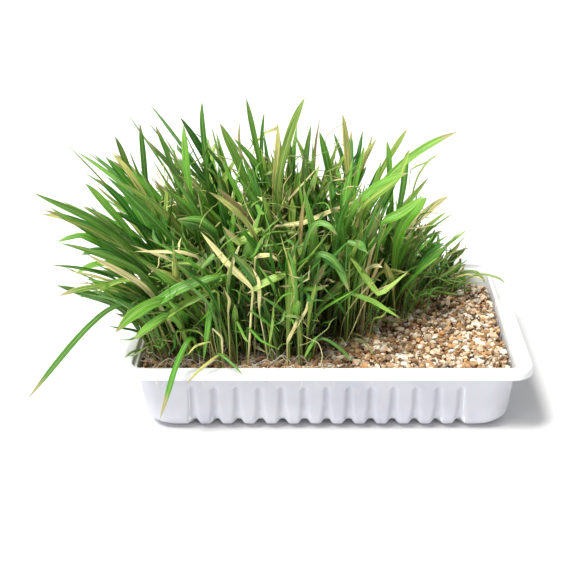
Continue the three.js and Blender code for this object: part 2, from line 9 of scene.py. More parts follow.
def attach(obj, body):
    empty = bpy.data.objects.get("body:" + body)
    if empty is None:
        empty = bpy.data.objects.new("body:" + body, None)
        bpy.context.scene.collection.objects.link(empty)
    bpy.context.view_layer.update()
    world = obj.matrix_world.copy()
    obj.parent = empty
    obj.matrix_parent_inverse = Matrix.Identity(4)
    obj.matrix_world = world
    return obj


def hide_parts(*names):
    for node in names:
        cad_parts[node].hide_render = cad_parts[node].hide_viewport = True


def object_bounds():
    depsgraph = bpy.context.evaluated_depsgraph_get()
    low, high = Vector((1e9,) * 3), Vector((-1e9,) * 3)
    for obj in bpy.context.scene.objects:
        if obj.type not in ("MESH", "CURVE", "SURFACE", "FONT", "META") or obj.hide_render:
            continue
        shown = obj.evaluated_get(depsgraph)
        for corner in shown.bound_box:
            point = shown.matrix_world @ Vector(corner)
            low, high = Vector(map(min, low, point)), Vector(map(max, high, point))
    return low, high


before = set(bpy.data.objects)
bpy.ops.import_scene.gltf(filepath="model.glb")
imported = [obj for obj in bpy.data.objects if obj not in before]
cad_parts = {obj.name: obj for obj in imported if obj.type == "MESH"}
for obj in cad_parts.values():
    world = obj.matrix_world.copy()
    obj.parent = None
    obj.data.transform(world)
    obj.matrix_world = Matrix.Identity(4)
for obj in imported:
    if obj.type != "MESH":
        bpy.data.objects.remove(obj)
cadBounds = [list(corner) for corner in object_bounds()]
mm = 0.001
fullTurn = 2 * math.pi


# Helpers for meshes

def addObject(name, data, material=None):
    thing = bpy.data.objects.new(name, data)
    bpy.context.scene.collection.objects.link(thing)
    if material:
        data.materials.append(material)
    return thing


# Points in millimetres, faces as lists of indices, and marks: vectors at the points, by name
def meshFrom(name, points, faces, marks=None, smooth=True, sharpAngle=None):
    mesh = bpy.data.meshes.new(name)
    mesh.from_pydata((np.asarray(points) * mm).tolist(), [], faces)
    mesh.validate()
    mesh.polygons.foreach_set("use_smooth", [smooth] * len(mesh.polygons))
    if sharpAngle:
        mesh.set_sharp_from_angle(angle=math.radians(sharpAngle))
    mesh.update()
    for label, values in (marks or {}).items():
        attribute = mesh.attributes.new(label, "FLOAT_VECTOR", "POINT")
        attribute.data.foreach_set("vector", np.asarray(values, dtype=np.float32).ravel())
    return mesh


# Faces of a tube of loops that follow each other: its sides, then the first and last loop
def tubeFaces(loops, size):
    sides = []
    for a in range(0, (loops - 1) * size, size):
        for i in range(size):
            j = (i + 1) % size
            sides.append([a + i, a + j, a + size + j, a + size + i])
    last = (loops - 1) * size
    return sides, list(range(size))[::-1], list(range(last, last + size))


# Triangles from a loop to one point
def fan(loop, tip):
    return [[a, b, tip] for a, b in zip(loop, loop[1:] + loop[:1])]


# One mesh from many parts, each with points, faces and any columns of marks
def joinParts(parts):
    faces, start = [], 0
    for part in parts:
        faces += [[start + n for n in face] for face in part[1]]
        start += len(part[0])
    points, *columns = (np.concatenate([part[i] for part in parts])
                        for i in (0, *range(2, len(parts[0]))))
    return points, faces, columns


def turned(points, angles):
    a, b, c = angles
    rotateX = np.array([[1, 0, 0], [0, math.cos(a), -math.sin(a)], [0, math.sin(a), math.cos(a)]])
    rotateY = np.array([[math.cos(b), 0, math.sin(b)], [0, 1, 0], [-math.sin(b), 0, math.cos(b)]])
    rotateZ = np.array([[math.cos(c), -math.sin(c), 0], [math.sin(c), math.cos(c), 0], [0, 0, 1]])
    return points @ (rotateZ @ rotateY @ rotateX).T


# The same numbers for the same seed, each from 0 to 1
def randomFrom(seed):
    factor, limit = 16807, 2147483647
    state = (seed * 7919 + 104729) % limit

    def draw():
        nonlocal state
        state = state * factor % limit
        return state / limit
    return draw


# A number by chance, from a pair: the least, and what is added to it at most
def chance(draw, pair):
    return pair[0] + pair[1] * draw()


def smoothStep(low, high, value):
    t = np.clip((value - low) / (high - low), 0, 1)
    return t * t * (3 - 2 * t)


# Helpers for materials; a value is a socket, a number or a colour

def addNode(tree, kind, **settings):
    node = tree.nodes.new(kind)
    for key, value in settings.items():
        setattr(node, key, value)
    return node


def feed(tree, slot, value):
    if isinstance(value, bpy.types.NodeSocket):
        tree.links.new(value, slot)
    elif slot.type == "RGBA":
        slot.default_value = (*value, 1)
    else:
        slot.default_value = value


def calc(tree, operation, *values):
    node = addNode(tree, "ShaderNodeMath", operation=operation)
    for slot, value in zip(node.inputs, values):
        feed(tree, slot, value)
    return node.outputs[0]


def times(tree, first, second):
    return calc(tree, "MULTIPLY", first, second)


def timesPlus(tree, value, factor, offset):
    return calc(tree, "MULTIPLY_ADD", value, factor, offset)


# From 0 at the low value to 1 at the high one, softly
def mapRange(tree, value, low, high):
    node = addNode(tree, "ShaderNodeMapRange", interpolation_type="SMOOTHSTEP")
    for slot, given in zip(node.inputs, (value, low, high)):
        feed(tree, slot, given)
    return node.outputs[0]


def mixColour(tree, factor, first, second, blend="MIX"):
    node = addNode(tree, "ShaderNodeMix", data_type="RGBA", blend_type=blend)
    for label, value in (("Factor", factor), ("A", first), ("B", second)):
        feed(tree, node.inputs[label], value)
    return node.outputs["Result"]


# A colour times a number
def shaded(tree, colour, light):
    grey = addNode(tree, "ShaderNodeCombineXYZ")
    for slot in grey.inputs:
        feed(tree, slot, light)
    return mixColour(tree, 1.0, colour, grey.outputs[0], "MULTIPLY")


def ramp(tree, value, stops, interpolation="LINEAR"):
    node = addNode(tree, "ShaderNodeValToRGB")
    node.color_ramp.interpolation = interpolation
    while len(node.color_ramp.elements) < len(stops):
        node.color_ramp.elements.new(1)
    for element, (place, colour) in zip(node.color_ramp.elements, stops):
        element.position = place
        element.color = (*colour, 1)
    feed(tree, node.inputs[0], value)
    return node.outputs[0]


def noise(tree, vector, scale, detail):
    node = addNode(tree, "ShaderNodeTexNoise")
    for label, value in (("Vector", vector), ("Scale", scale), ("Detail", detail)):
        feed(tree, node.inputs[label], value)
    return node.outputs["Fac"]


def bump(tree, height, strength, distance):
    node = addNode(tree, "ShaderNodeBump")
    for label, value in (("Strength", strength), ("Distance", distance), ("Height", height)):
        feed(tree, node.inputs[label], value)
    return node.outputs[0]


def splitVector(tree, vector):
    parts = addNode(tree, "ShaderNodeSeparateXYZ")
    feed(tree, parts.inputs[0], vector)
    return parts.outputs


# The three numbers that a mesh carries at each point under this name
def readMarks(tree, name):
    own = addNode(tree, "ShaderNodeAttribute", attribute_name=name)
    return splitVector(tree, own.outputs["Vector"])


def newGroup(name, inputs, outputs):
    group = bpy.data.node_groups.new(name, "ShaderNodeTree")
    for label, value in inputs.items():
        slot = group.interface.new_socket(label, in_out="INPUT", socket_type="NodeSocketFloat")
        slot.default_value = value
    for label in outputs:
        group.interface.new_socket(label, in_out="OUTPUT", socket_type="NodeSocketFloat")
    source = addNode(group, "NodeGroupInput")
    result = addNode(group, "NodeGroupOutput")
    return group, source.outputs, result.inputs


def useGroup(tree, group, **values):
    node = addNode(tree, "ShaderNodeGroup", node_tree=group)
    for label, value in values.items():
        feed(tree, node.inputs[label], value)
    return node.outputs


def newMaterial(name, roughness, specular):
    material = bpy.data.materials.new(name)
    material.use_nodes = True
    tree = material.node_tree
    shader = tree.nodes["Principled BSDF"]
    shader.inputs["Roughness"].default_value = roughness
    shader.inputs["Specular IOR Level"].default_value = specular
    return material, tree, shader.inputs


def setSurface(tree, shader, colour, roughness, normal):
    for label, value in (("Base Color", colour), ("Roughness", roughness), ("Normal", normal)):
        feed(tree, shader[label], value)


# Coarse mottling and fine grain, used by the plastic, the granules and the floor
def makeMottle():
    group, given, made = newGroup("mottle", {"Coarse": 60.0, "Fine": 900.0}, ("Patches", "Grain"))
    place = addNode(group, "ShaderNodeTexCoord").outputs["Object"]
    feed(group, made["Patches"], noise(group, place, given["Coarse"], 3.0))
    feed(group, made["Grain"], noise(group, place, given["Fine"], 4.0))
    return group


# Fine lines along a blade, a husk or a root, from the place across and along it
def makeFibres():
    inputs = {"Across": 0.0, "Along": 0.0, "Seed": 0.0, "Count": 9.0}
    stretch = {"Across": 2.2, "Along": 3.5, "Seed": 37.0}  # of the streaks
    group, given, made = newGroup("fibres", inputs, ("Lines", "Streaks"))
    turns = times(group, given["Across"], given["Count"])
    wave = calc(group, "SINE", times(group, turns, math.pi))
    feed(group, made["Lines"], timesPlus(group, wave, 0.5, 0.5))
    combine = addNode(group, "ShaderNodeCombineXYZ")
    for slot, (label, factor) in zip(combine.inputs, stretch.items()):
        feed(group, slot, times(group, given[label], factor))
    feed(group, made["Streaks"], noise(group, combine.outputs[0], 1.6, 4.0))
    return group


mottle = makeMottle()
fibres = makeFibres()


# Tray

tray = {
    "length": 230, "width": 154, "height": 43,
    "sheet": 0.75,  # thickness of the moulded sheet
    "lipDrop": 4.8, "rimTop": 6.5,
    "ledgeDepth": 2.9, "ledgeStep": 0.7, "shelfFall": 0.4,
    "wallInset": 8.15, "wallTaper": 0.07,
    "footRadius": 10, "rimCorner": 12, "wallCorner": 10.5, "footCorner": 15.5,
    "fluteSpacing": 12.6, "flutesOnLongSide": 13, "flutesOnShortSide": 7,
    "fluteHalfWidth": 4.1, "fluteHalfFloor": 0.9,
    "fluteNarrow": 0.62, "narrowFrom": 6, "narrowTo": 20,  # how narrow upwards, between heights
    "fluteDepth": 1.9, "fluteFootDepth": 3.1,
    "fluteTop": 29.5, "fluteFullDepth": 27, "fluteRunOut": 27,
    "archFrom": 0.4, "archRound": 0.6, "plainAbove": 0.6,  # the ends of the flutes, above fluteTop
    "fluteSteps": 14, "cornerSteps": 12, "archRows": 9, "wallRows": 7, "footRows": 9,
    "underRows": 5, "underNarrow": 4, "underLoops": [(45, 8), (70, 3)],  # inset, corner
    # the wall colour is painted shade on the outer wall below the lip, partly the dark bed seen
    # through the thin sheet
    "colour": (0.82, 0.83, 0.85), "paintedWallShade": (0.52, 0.53, 0.60),
    "wallShade": (0.0395, 0.036),  # heights where the painted shade of the outer wall starts and is full
    "speckColour": (0.62, 0.56, 0.61), "speckShare": 0.45,
    "patches": {"Coarse": 38.0, "Fine": 1400.0}, "specks": {"Coarse": 260.0, "Fine": 620.0},
    "roughness": 0.36, "grain": (0.12, 0.0003),  # strength and depth of the grain
}


# Stations along one side that follow the flutes, from its middle
def stationsOn(count):
    reach = tray["fluteSpacing"] * count / 2
    return np.linspace(-reach, reach, count * tray["fluteSteps"] + 1)


def fluteAt(along, count, wide):
    spacing = tray["fluteSpacing"]
    reach = spacing * (count - 1) / 2
    index = np.clip(np.round((along + reach) / spacing), 0, count - 1)
    away = np.abs(along + reach - index * spacing)
    return 1 - smoothStep(tray["fluteHalfFloor"] * wide, tray["fluteHalfWidth"] * wide, away)


# A closed loop round the tray, always with the same number of points
def ring(inset, z, corner, pressIn=0.0, lift=0.0, archTo=None):
    points = []
    angles = np.linspace(0, math.pi / 2, tray["cornerSteps"] + 1)
    higher = smoothStep(tray["narrowFrom"], tray["narrowTo"], z)
    for side in range(4):
        onLongSide = side % 2 == 0
        halfX, halfY = tray["length"] / 2 - inset, tray["width"] / 2 - inset
        half, out = (halfX, halfY) if onLongSide else (halfY, halfX)
        count = tray["flutesOnLongSide" if onLongSide else "flutesOnShortSide"]
        along = stationsOn(count)
        pressed = fluteAt(along, count, 1 - (1 - tray["fluteNarrow"]) * higher)
        if archTo is not None:  # near its top a groove is narrower, which gives it a round end
            pressed = np.clip((pressed - archTo) / (1 - archTo + 1e-6), 0, 1)
        straight = half - corner
        along = along * min(1, straight / along[-1])
        along = np.concatenate([along, straight + corner * np.sin(angles)])
        outward = np.concatenate([out - pressIn * pressed, out - corner + corner * np.cos(angles)])
        up = np.concatenate([z + lift * pressed, np.full(len(angles), z)])
        turn = side * math.pi / 2
        x = along * math.cos(turn) + outward * math.sin(turn)
        y = along * math.sin(turn) - outward * math.cos(turn)
        points.append(np.stack([x, y, up], axis=1))
    return np.concatenate(points)


# Joins the loops in turn and closes both ends
def stackRings(rings):
    sides, first, last = tubeFaces(len(rings), len(rings[0]))
    return np.concatenate(rings), [*sides, first, last]


def outerInset(z):
    return tray["wallInset"] + tray["wallTaper"] * (tray["height"] - tray["lipDrop"] - z)


def cornerAt(z):
    top = tray["wallCorner"]
    return top + (tray["footCorner"] - top) * (tray["height"] - z) / tray["height"]


# The fluted wall from its top down to the middle of the underside
def wallRings(under):
    rings = []
    top, full, radius = tray["fluteTop"], tray["fluteFullDepth"], tray["footRadius"]
    depth, footDepth = tray["fluteDepth"], tray["fluteFootDepth"]
    for z in np.linspace(top + tray["plainAbove"], full, tray["archRows"]):
        share = smoothStep(top + tray["archFrom"], full, z)
        rings.append(ring(outerInset(z) + under, z, cornerAt(z),
                          pressIn=depth * share ** tray["archRound"], archTo=1 - share))
    for z in np.linspace(full, radius, tray["wallRows"])[1:]:
        rings.append(ring(outerInset(z) + under, z, cornerAt(z), pressIn=depth))
    flat = outerInset(radius) + radius
    for angle in np.linspace(0, math.pi / 2, tray["footRows"])[1:]:
        deep = depth + (footDepth - depth) * math.sin(angle)
        inset = flat - (radius - under) * math.cos(angle)
        z = radius - (radius - under) * math.sin(angle)
        rings.append(ring(inset, z, cornerAt(z), deep * math.cos(angle), deep * math.sin(angle)))
    for share in np.linspace(0, 1, tray["underRows"])[1:]:
        inset = flat + (tray["fluteRunOut"] - flat) * share
        lift = footDepth * (1 - smoothStep(0, 1, share))
        corner = tray["footCorner"] - tray["underNarrow"] * share
        rings.append(ring(inset, under, corner, lift=lift))
    return rings + [ring(inset, under, corner) for inset, corner in tray["underLoops"]]


# Rounds every corner of a profile of (inset, z, corner radius, round)
def roundProfile(profile, steps=4, mostOfEdge=0.45):
    smooth = [profile[0][:3]]
    for before, here, after in zip(profile, profile[1:], profile[2:]):
        p, q, r = (np.array(point[:3], dtype=float) for point in (before, here, after))
        back, on = np.linalg.norm((p - q)[:2]), np.linalg.norm((r - q)[:2])
        size = min(here[3], mostOfEdge * back, mostOfEdge * on)
        start, stop = q + (p - q) * size / back, q + (r - q) * size / on
        for t in np.linspace(0, 1, steps + 1):
            smooth.append(tuple(start * (1 - t) ** 2 + 2 * q * t * (1 - t) + stop * t * t))
    return smooth + [profile[-1][:3]]


# From the wall up round the lip, over the rim and down the ledge to the inner wall
def rimRings():
    top, sheet = tray["height"], tray["sheet"]
    lip, shelf = top - tray["lipDrop"], top - tray["ledgeDepth"]
    low = shelf - tray["shelfFall"]
    corner, rimTop, step = tray["rimCorner"], tray["rimTop"], tray["ledgeStep"]
    start = tray["fluteTop"] + tray["plainAbove"]
    profile = [
        (outerInset(start), start, cornerAt(start), 0),
        (outerInset(low - sheet), low - sheet, corner - 3.0, 0.6),
        (rimTop + step - sheet, shelf - sheet, corner - 4.2, 0.4),
        (rimTop - sheet, top - sheet, corner - 3.6, 0.8),
        (sheet + 0.2, top - sheet, corner - sheet, 1.0),
        (sheet, lip, corner - sheet, 0.25),
        (0, lip, corner, 0.25),
        (0.25, top, corner, 1.5),
        (rimTop, top, corner - 4.5, 0.9),
        (rimTop + step, shelf, corner - 5, 0.5),
        (outerInset(low) + sheet, low, corner - 4.5, 0.6),
        (outerInset(start) + sheet, start, cornerAt(start) - 0.6, 0),
    ]
    return [ring(inset, z, radius) for inset, z, radius in roundProfile(profile)[1:-1]]


def makeTrayMaterial():
    material, tree, shader = newMaterial("trayPlastic", tray["roughness"], 0.5)
    geometry = addNode(tree, "ShaderNodeNewGeometry").outputs
    facing = addNode(tree, "ShaderNodeVectorMath", operation="DOT_PRODUCT")
    feed(tree, facing.inputs[0], geometry["Position"])
    feed(tree, facing.inputs[1], geometry["Normal"])
    outside = mapRange(tree, facing.outputs["Value"], -0.01, 0.01)
    height = splitVector(tree, geometry["Position"])["Z"]
    # Painted shade: the outer wall below the lip is mixed towards a darker bluish grey
    wall = times(tree, outside, mapRange(tree, height, *tray["wallShade"]))
    marks = useGroup(tree, mottle, **tray["patches"])
    patches = mapRange(tree, marks["Patches"], 0.35, 0.7)
    shade = times(tree, wall, timesPlus(tree, patches, 0.25, 0.75))
    colour = mixColour(tree, shade, tray["colour"], tray["paintedWallShade"])
    specks = useGroup(tree, mottle, **tray["specks"])
    speckMask = times(tree, mapRange(tree, specks["Patches"], 0.5, 0.7),
                      times(tree, wall, tray["speckShare"]))
    colour = mixColour(tree, speckMask, colour, tray["speckColour"])
    rough = timesPlus(tree, marks["Patches"], 0.16, tray["roughness"] - 0.08)
    grain = timesPlus(tree, marks["Patches"], 2.0, marks["Grain"])
    setSurface(tree, shader, colour, rough, bump(tree, grain, *tray["grain"]))
    return material


def makeTray():
    rings = wallRings(0)[::-1] + rimRings() + wallRings(tray["sheet"])
    points, faces = stackRings(rings)
    piece = addObject("fineTray", meshFrom("fineTray", points, faces), makeTrayMaterial())
    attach(piece, "root")
    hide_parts("tray")
    print("tray:", len(points), "points")


# Bed of granules

bed = {
    "level": 36.2, "dip": 9.5, "dipStart": 45, "dipEnd": 67,  # lower along the back
    "margin": 9, "clearance": 0.5,  # in from the rim, and between the wall and a granule
    "seed": 31, "shapes": 26,
    "spacing": 2.7, "jitter": 0.9,  # of the close layer
    # a close layer, loose granules on it and a few large ones: how many, smallest and
    # largest size, the power that makes small ones more common, lowest and highest rise
    "layers": [
        (None, (2.6, 4.6), 1, (-1.5, -0.35)),
        (2900, (1.9, 4.3), 1.6, (-0.5, 0.5)),
        (420, (4.2, 6.2), 1, (-0.8, 0.3)),
    ],
    "chips": [(46, -34, 5.6), (38, -44, 4.2), (70, -8, 4.0)],  # dark ones: place and size
    "chipRise": 0.6, "chipMark": (0.9, 0.5, 0),
    "flakeSides": (5, 8), "flakeLayers": (3, 5), "flakeHalf": (0.28, 0.62),
    "flakeOutline": (0.7, 1.15), "flakeNarrow": 0.82, "layerSize": (0.78, 1.06),
    "tilt": 0.45, "stretch": (0.85, 1.15),
    "paintedShadeBelow": (-1.4, 0.55),  # painted shade: heights over the bed between which a granule's base is darker
    "dampShadeFrom": -20, "dampShadeFull": -75, "dampShadeShare": 0.75,  # darker to the left, under the grass: damp, and partly painted shade
    "bodyGap": 0.3, "bodyDepth": 2.1,  # of the dark body, from the wall and under the bed
    "bodyRows": (10, 18, 25), "bodyInsets": (0, 5, 10, 16, 24, 34, 46, 62),
    "bodyMark": (0.93, 0.2, 0.6),
    "spots": {"Coarse": 520.0, "Fine": 2600.0}, "roughness": 0.82, "grain": (0.5, 0.0004),
    "dust": (0.80, 0.68, 0.50), "dampAndShade": (0.56, 0.33, 0.18),
    # share of the granules of each tint
    "tints": [
        (0.00, (0.76, 0.62, 0.44)), (0.15, (0.52, 0.34, 0.18)), (0.28, (0.90, 0.85, 0.75)),
        (0.43, (0.40, 0.22, 0.09)), (0.54, (0.76, 0.63, 0.45)), (0.67, (0.30, 0.15, 0.055)),
        (0.77, (0.58, 0.31, 0.11)), (0.86, (0.15, 0.08, 0.034)), (0.95, (0.05, 0.03, 0.017)),
    ],
}


def bedHeight(y):
    t = smoothStep(bed["dipStart"], bed["dipEnd"], y)
    return bed["level"] - bed["dip"] * t


# Height of the solid bed at each point; over a bunch, and next to the wall, the plain level
def bedSurface(x, y):
    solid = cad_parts["granule_bed"]
    points = [vertex.co for vertex in solid.data.vertices]
    tree = BVHTree.FromPolygons(points, [list(face.vertices) for face in solid.data.polygons])
    heights = bedHeight(y)
    above, near = 60, 2.5
    for i, level in enumerate(bedHeight(y)):
        start = Vector((x[i] * mm, y[i] * mm, above * mm))
        hit = tree.ray_cast(start, Vector((0, 0, -1)))[0]
        if hit is not None and abs(hit.z / mm - level) < near:
            heights[i] = hit.z / mm
    return heights


# An irregular flaky block: a few stacked outlines, each a little different
def flake(random):
    sides = random.integers(*bed["flakeSides"])
    angles = np.sort(np.linspace(0, fullTurn, sides, endpoint=False)
                     + random.uniform(-0.35, 0.35, sides))
    outline = random.uniform(*bed["flakeOutline"], sides)
    layers = random.integers(*bed["flakeLayers"])
    half = random.uniform(*bed["flakeHalf"])
    rings = []
    for level in range(layers):
        size = outline * random.uniform(*bed["layerSize"], sides)
        x = np.cos(angles) * size + random.uniform(-0.1, 0.1)
        y = np.sin(angles) * size * bed["flakeNarrow"] + random.uniform(-0.1, 0.1)
        z = half * (2 * level / (layers - 1) - 1) + random.uniform(-0.07, 0.07, sides)
        rings.append(np.stack([x, y, z], axis=1))
    sideFaces, first, last = tubeFaces(layers, sides)
    return np.concatenate(rings), [first, last, *sideFaces]


# Whether points lie inside the tray, this far in from its rim
def insideTray(x, y, inset, corner=13):
    overX = np.maximum(np.abs(x) - (tray["length"] / 2 - inset - corner), 0)
    overY = np.maximum(np.abs(y) - (tray["width"] / 2 - inset - corner), 0)
    return np.hypot(overX, overY) < corner


# Place, size and rise of every granule; the chips come last
def granulePlaces(random):
    reaches = (tray["length"] / 2 - bed["margin"], tray["width"] / 2 - bed["margin"])
    columns = []
    for count, (small, large), power, rises in bed["layers"]:
        if count is None:
            grid = np.meshgrid(*(np.arange(-reach, reach, bed["spacing"]) for reach in reaches))
            count = grid[0].size
            x, y = (axis.ravel() + random.uniform(-bed["jitter"], bed["jitter"], count)
                    for axis in grid)
        else:
            x, y = (random.uniform(-reach, reach, count) for reach in reaches)
        size = small + (large - small) * random.uniform(0, 1, count) ** power
        columns.append([x, y, size, random.uniform(*rises, count)])
    columns.append(np.array([(*chip, bed["chipRise"]) for chip in bed["chips"]]).T)
    x, y, size, rise = np.concatenate(columns, axis=1)
    wall = outerInset(bedHeight(y)) + tray["sheet"] + bed["clearance"]
    keep = insideTray(x, y, wall + size * 0.5)
    x, y, size, rise = x[keep], y[keep], size[keep], rise[keep]
    return x, y, bedSurface(x, y), rise, size


def makeGranuleMaterial():
    material, tree, shader = newMaterial("granules", bed["roughness"], 0.35)
    # The third mark darkens a granule: damp under the grass with painted shade there, and painted
    # shade at each granule's foot
    tint, tone, dampAndShade = readMarks(tree, "granule")
    marks = useGroup(tree, mottle, **bed["spots"])
    spots = times(tree, mapRange(tree, marks["Patches"], 0.35, 0.68), 0.28)
    colour = mixColour(tree, spots, ramp(tree, tint, bed["tints"], "CONSTANT"), bed["dust"])
    light = timesPlus(tree, tone, 0.7, 0.65)
    light = times(tree, light, timesPlus(tree, marks["Grain"], 0.6, 0.7))
    dry = shaded(tree, colour, light)
    wetAndShaded = mixColour(tree, 1.0, dry, bed["dampAndShade"], "MULTIPLY")
    rough = timesPlus(tree, dampAndShade, -0.25, bed["roughness"])
    normal = bump(tree, marks["Grain"], *bed["grain"])
    setSurface(tree, shader, mixColour(tree, dampAndShade, dry, wetAndShaded), rough, normal)
    return material


# Under the granules a dark body fills the tray, so that no gap shows the plastic
def makeBedBody(material):
    into = tray["sheet"] + tray["fluteDepth"] + bed["bodyGap"]
    foot = outerInset(tray["footRadius"]) + into
    rings = [ring(tray["fluteRunOut"], into + 0.4, tray["footCorner"] - 5),
             ring(foot + 3, 5, tray["footCorner"] - 3)]
    rings += [ring(outerInset(z) + into, z, cornerAt(z)) for z in bed["bodyRows"]]
    for inset in bed["bodyInsets"]:
        inset = outerInset(30) + into + inset
        loop = ring(inset, 0, max(cornerAt(33) - inset * 0.15, 3))
        loop[:, 2] = bedHeight(loop[:, 1]) - bed["bodyDepth"]
        rings.append(loop)
    points, faces = stackRings(rings)
    marks = {"granule": np.tile(bed["bodyMark"], (len(points), 1))}
    piece = addObject("bedBody", meshFrom("bedBody", points, faces, marks), material)
    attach(piece, "root")


def makeBed():
    material = makeGranuleMaterial()
    random = np.random.default_rng(bed["seed"])
    shapes = [flake(random) for _ in range(bed["shapes"])]
    x, y, top, rise, size = granulePlaces(random)
    # Darker under the grass: damp, and partly painted shade
    dampAndShade = smoothStep(bed["dampShadeFrom"], bed["dampShadeFull"], x - 0.5 * y) * bed["dampShadeShare"]
    parts = []
    for i in range(len(x)):
        shape, faces = shapes[random.integers(len(shapes))]
        tilt = (random.normal(0, bed["tilt"]), random.normal(0, bed["tilt"]),
                random.uniform(0, fullTurn))
        block = turned(shape * size[i] / 2 * random.uniform(*bed["stretch"], 3), tilt)
        mark = (random.uniform(), random.uniform(), min(dampAndShade[i] * random.uniform(0.4, 1.3), 1))
        if i >= len(x) - len(bed["chips"]):
            mark = bed["chipMark"]
        mark = np.tile(mark, (len(shape), 1))
        # Painted shade in the gaps: the low part of each granule is darkened by way of the third
        # mark
        low = 1 - smoothStep(*bed["paintedShadeBelow"], block[:, 2] + rise[i])
        mark[:, 2] = np.maximum(mark[:, 2], low)
        parts.append((block + (x[i], y[i], top[i] + rise[i]), faces, mark))
    points, faces, (marks,) = joinParts(parts)
    mesh = meshFrom("granules", points, faces, {"granule": marks}, smooth=False)
    piece = addObject("granules", mesh, material)
    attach(piece, "root")
    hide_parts("granule_bed")
    makeBedBody(material)
    print("bed:", len(x), "granules")


# Grass

# A pair marked * is for chance(): the least, and what is added to it at most
grass = {
    "seed": 7,
    "spacing": 32, "rows": [-48, -16, 16, 48], "first": -86,
    "bunchRadius": 15.4, "rootMargin": 2.4, "rootSink": 2.6,
    "bareEdgeAtFront": -9, "bareEdgeFrom": 18, "bareEdgeSlant": 0.88, "bareOverlap": 12,
    # height of the stand above the bed, and how it falls off to the left, right and front
    "top": 120, "leftEdge": -60, "leftFall": 0.35, "rightEdge": 2, "rightFall": 1.2,
    "frontEdge": -15, "frontFall": 0.007, "lowest": 12,
    "slim": 0.84, "leadStraight": 0.6,  # of the lead blades; slim holds for the fill too
    "leadStalk": 0.5, "leadWidest": 0.78, "leadTwist": 0.22,
    "sprouts": 11,  # blades of the fill in each bunch, as in the solid model
    "height": (0.42, 0.58), "width": (3.2, 2.8),  # *
    "early": (0.15, 0.2), "rise": (0.72, 0.36),  # * where a blade arches towards
    "leanX": 0.006, "leanY": 0.004, "leanFront": 0.08,  # outwards, and to the front
    "strayX": 0.52, "strayY": 0.44,  # range of the lean by chance
    "fineSprouts": 20,  # finer ones between them
    "fineHeight": 0.84, "fineWidth": 0.66,
    "stems": 38,  # thin young ones, which also fill the gaps between the bunches
    "stemHeight": 0.52, "stemWidth": 0.36, "stemReach": 17, "stemStray": 2.4,
    "stemStraight": 0.2, "stemSway": 3.6,
    "crossLeaves": 20,  # leaves that lean far over
    "crossHeight": (0.42, 0.5), "crossReach": (14, 34),  # *
    "crossRise": (0.5, 0.42), "crossWidth": (2.2, 2.9), "crossSteep": 0.75,  # * but the last
    "lowLeaves": 9,  # short arching and dead ones at the foot
    "lowReach": (7, 20), "lowHeight": (8, 26), "lowWidth": (0.9, 1.5),  # *
    "wisps": 26,  # thin dry fibres that wind through the stand
    "wisp": {"length": (12, 46), "width": (0.4, 0.85), "stalk": 0.8, "flat": 0,
             "kinds": ("straw", "dark", "straw", "yellow", "green")},
    "shreds": 22,  # small loose leaves that lie every way
    "shred": {"length": (14, 44), "width": (0.9, 3.0), "stalk": 0.35, "flat": 1,
              "kinds": ("green", "green", "blue", "dark", "lime", "straw", "green")},
    "winding": 0.45, "climbing": 0.35,  # of the fibres and the loose leaves
    "thinAt": 78, "thinning": 1.3,  # a stand lower than this has fewer of the finer pieces
    "frontStrip": -48,  # the finer pieces stand behind this line, open granules before it
    # share of each colour kind, in the order of kindMoods
    "shares": (0.55, 0.18, 0.06, 0.05, 0.02, 0.14),
    "stemShares": (0.44, 0.16, 0.12, 0.16, 0.04, 0.08),
    "lowShares": (0.34, 0.16, 0.16, 0.26, 0.04, 0.04),
    "stalk": 0.42, "stalkEnd": 0.12, "widest": 0.66,  # shape of a blade along its length
    "knee": 0.44, "kneeSoft": 0.16,  # where a blade turns out of its stalk, and how softly
    "straight": 0.8,  # 0 an even curve, 1 two straight parts
    "moodStray": (-0.09, 0.08), "sway": (0.2, 1.0), "swayTurns": (1.5, 3.2),
    "channel": (0.1, 0.5), "edge": 0.2, "keel": 0.9, "ripple": 0.05,
    "ringPoints": 12, "wispPoints": 6, "steps": 16, "longSteps": 24, "longFrom": 110,
    "rimClearance": 1.6, "rimReach": 13, "bedClearance": 2.1,
    # painted shade: how much darker deep in the stand, from how far in, and up to which share of
    # its height
    "shade": 0.68, "shadeMargin": 11, "edgeShade": 2, "fullShade": 24, "shadeUpTo": (0.1, 0.8),
    # colours along a leaf, in the shade and in the light
    "deepGreen": [
        (0.0, (0.42, 0.38, 0.16)), (0.10, (0.14, 0.20, 0.035)), (0.32, (0.030, 0.165, 0.006)),
        (0.75, (0.030, 0.19, 0.009)), (1.0, (0.055, 0.24, 0.018)),
    ],
    "brightGreen": [
        (0.0, (0.52, 0.50, 0.24)), (0.13, (0.25, 0.34, 0.06)), (0.36, (0.115, 0.34, 0.017)),
        (0.75, (0.145, 0.42, 0.030)), (1.0, (0.22, 0.47, 0.055)),
    ],
    "blueGreen": (0.055, 0.20, 0.05), "yellowed": (0.66, 0.58, 0.16),
    "straw": (0.46, 0.33, 0.14), "strawPale": (0.82, 0.71, 0.36),
    "dryTip": (0.42, 0.33, 0.16), "rib": (0.50, 0.62, 0.26),
}

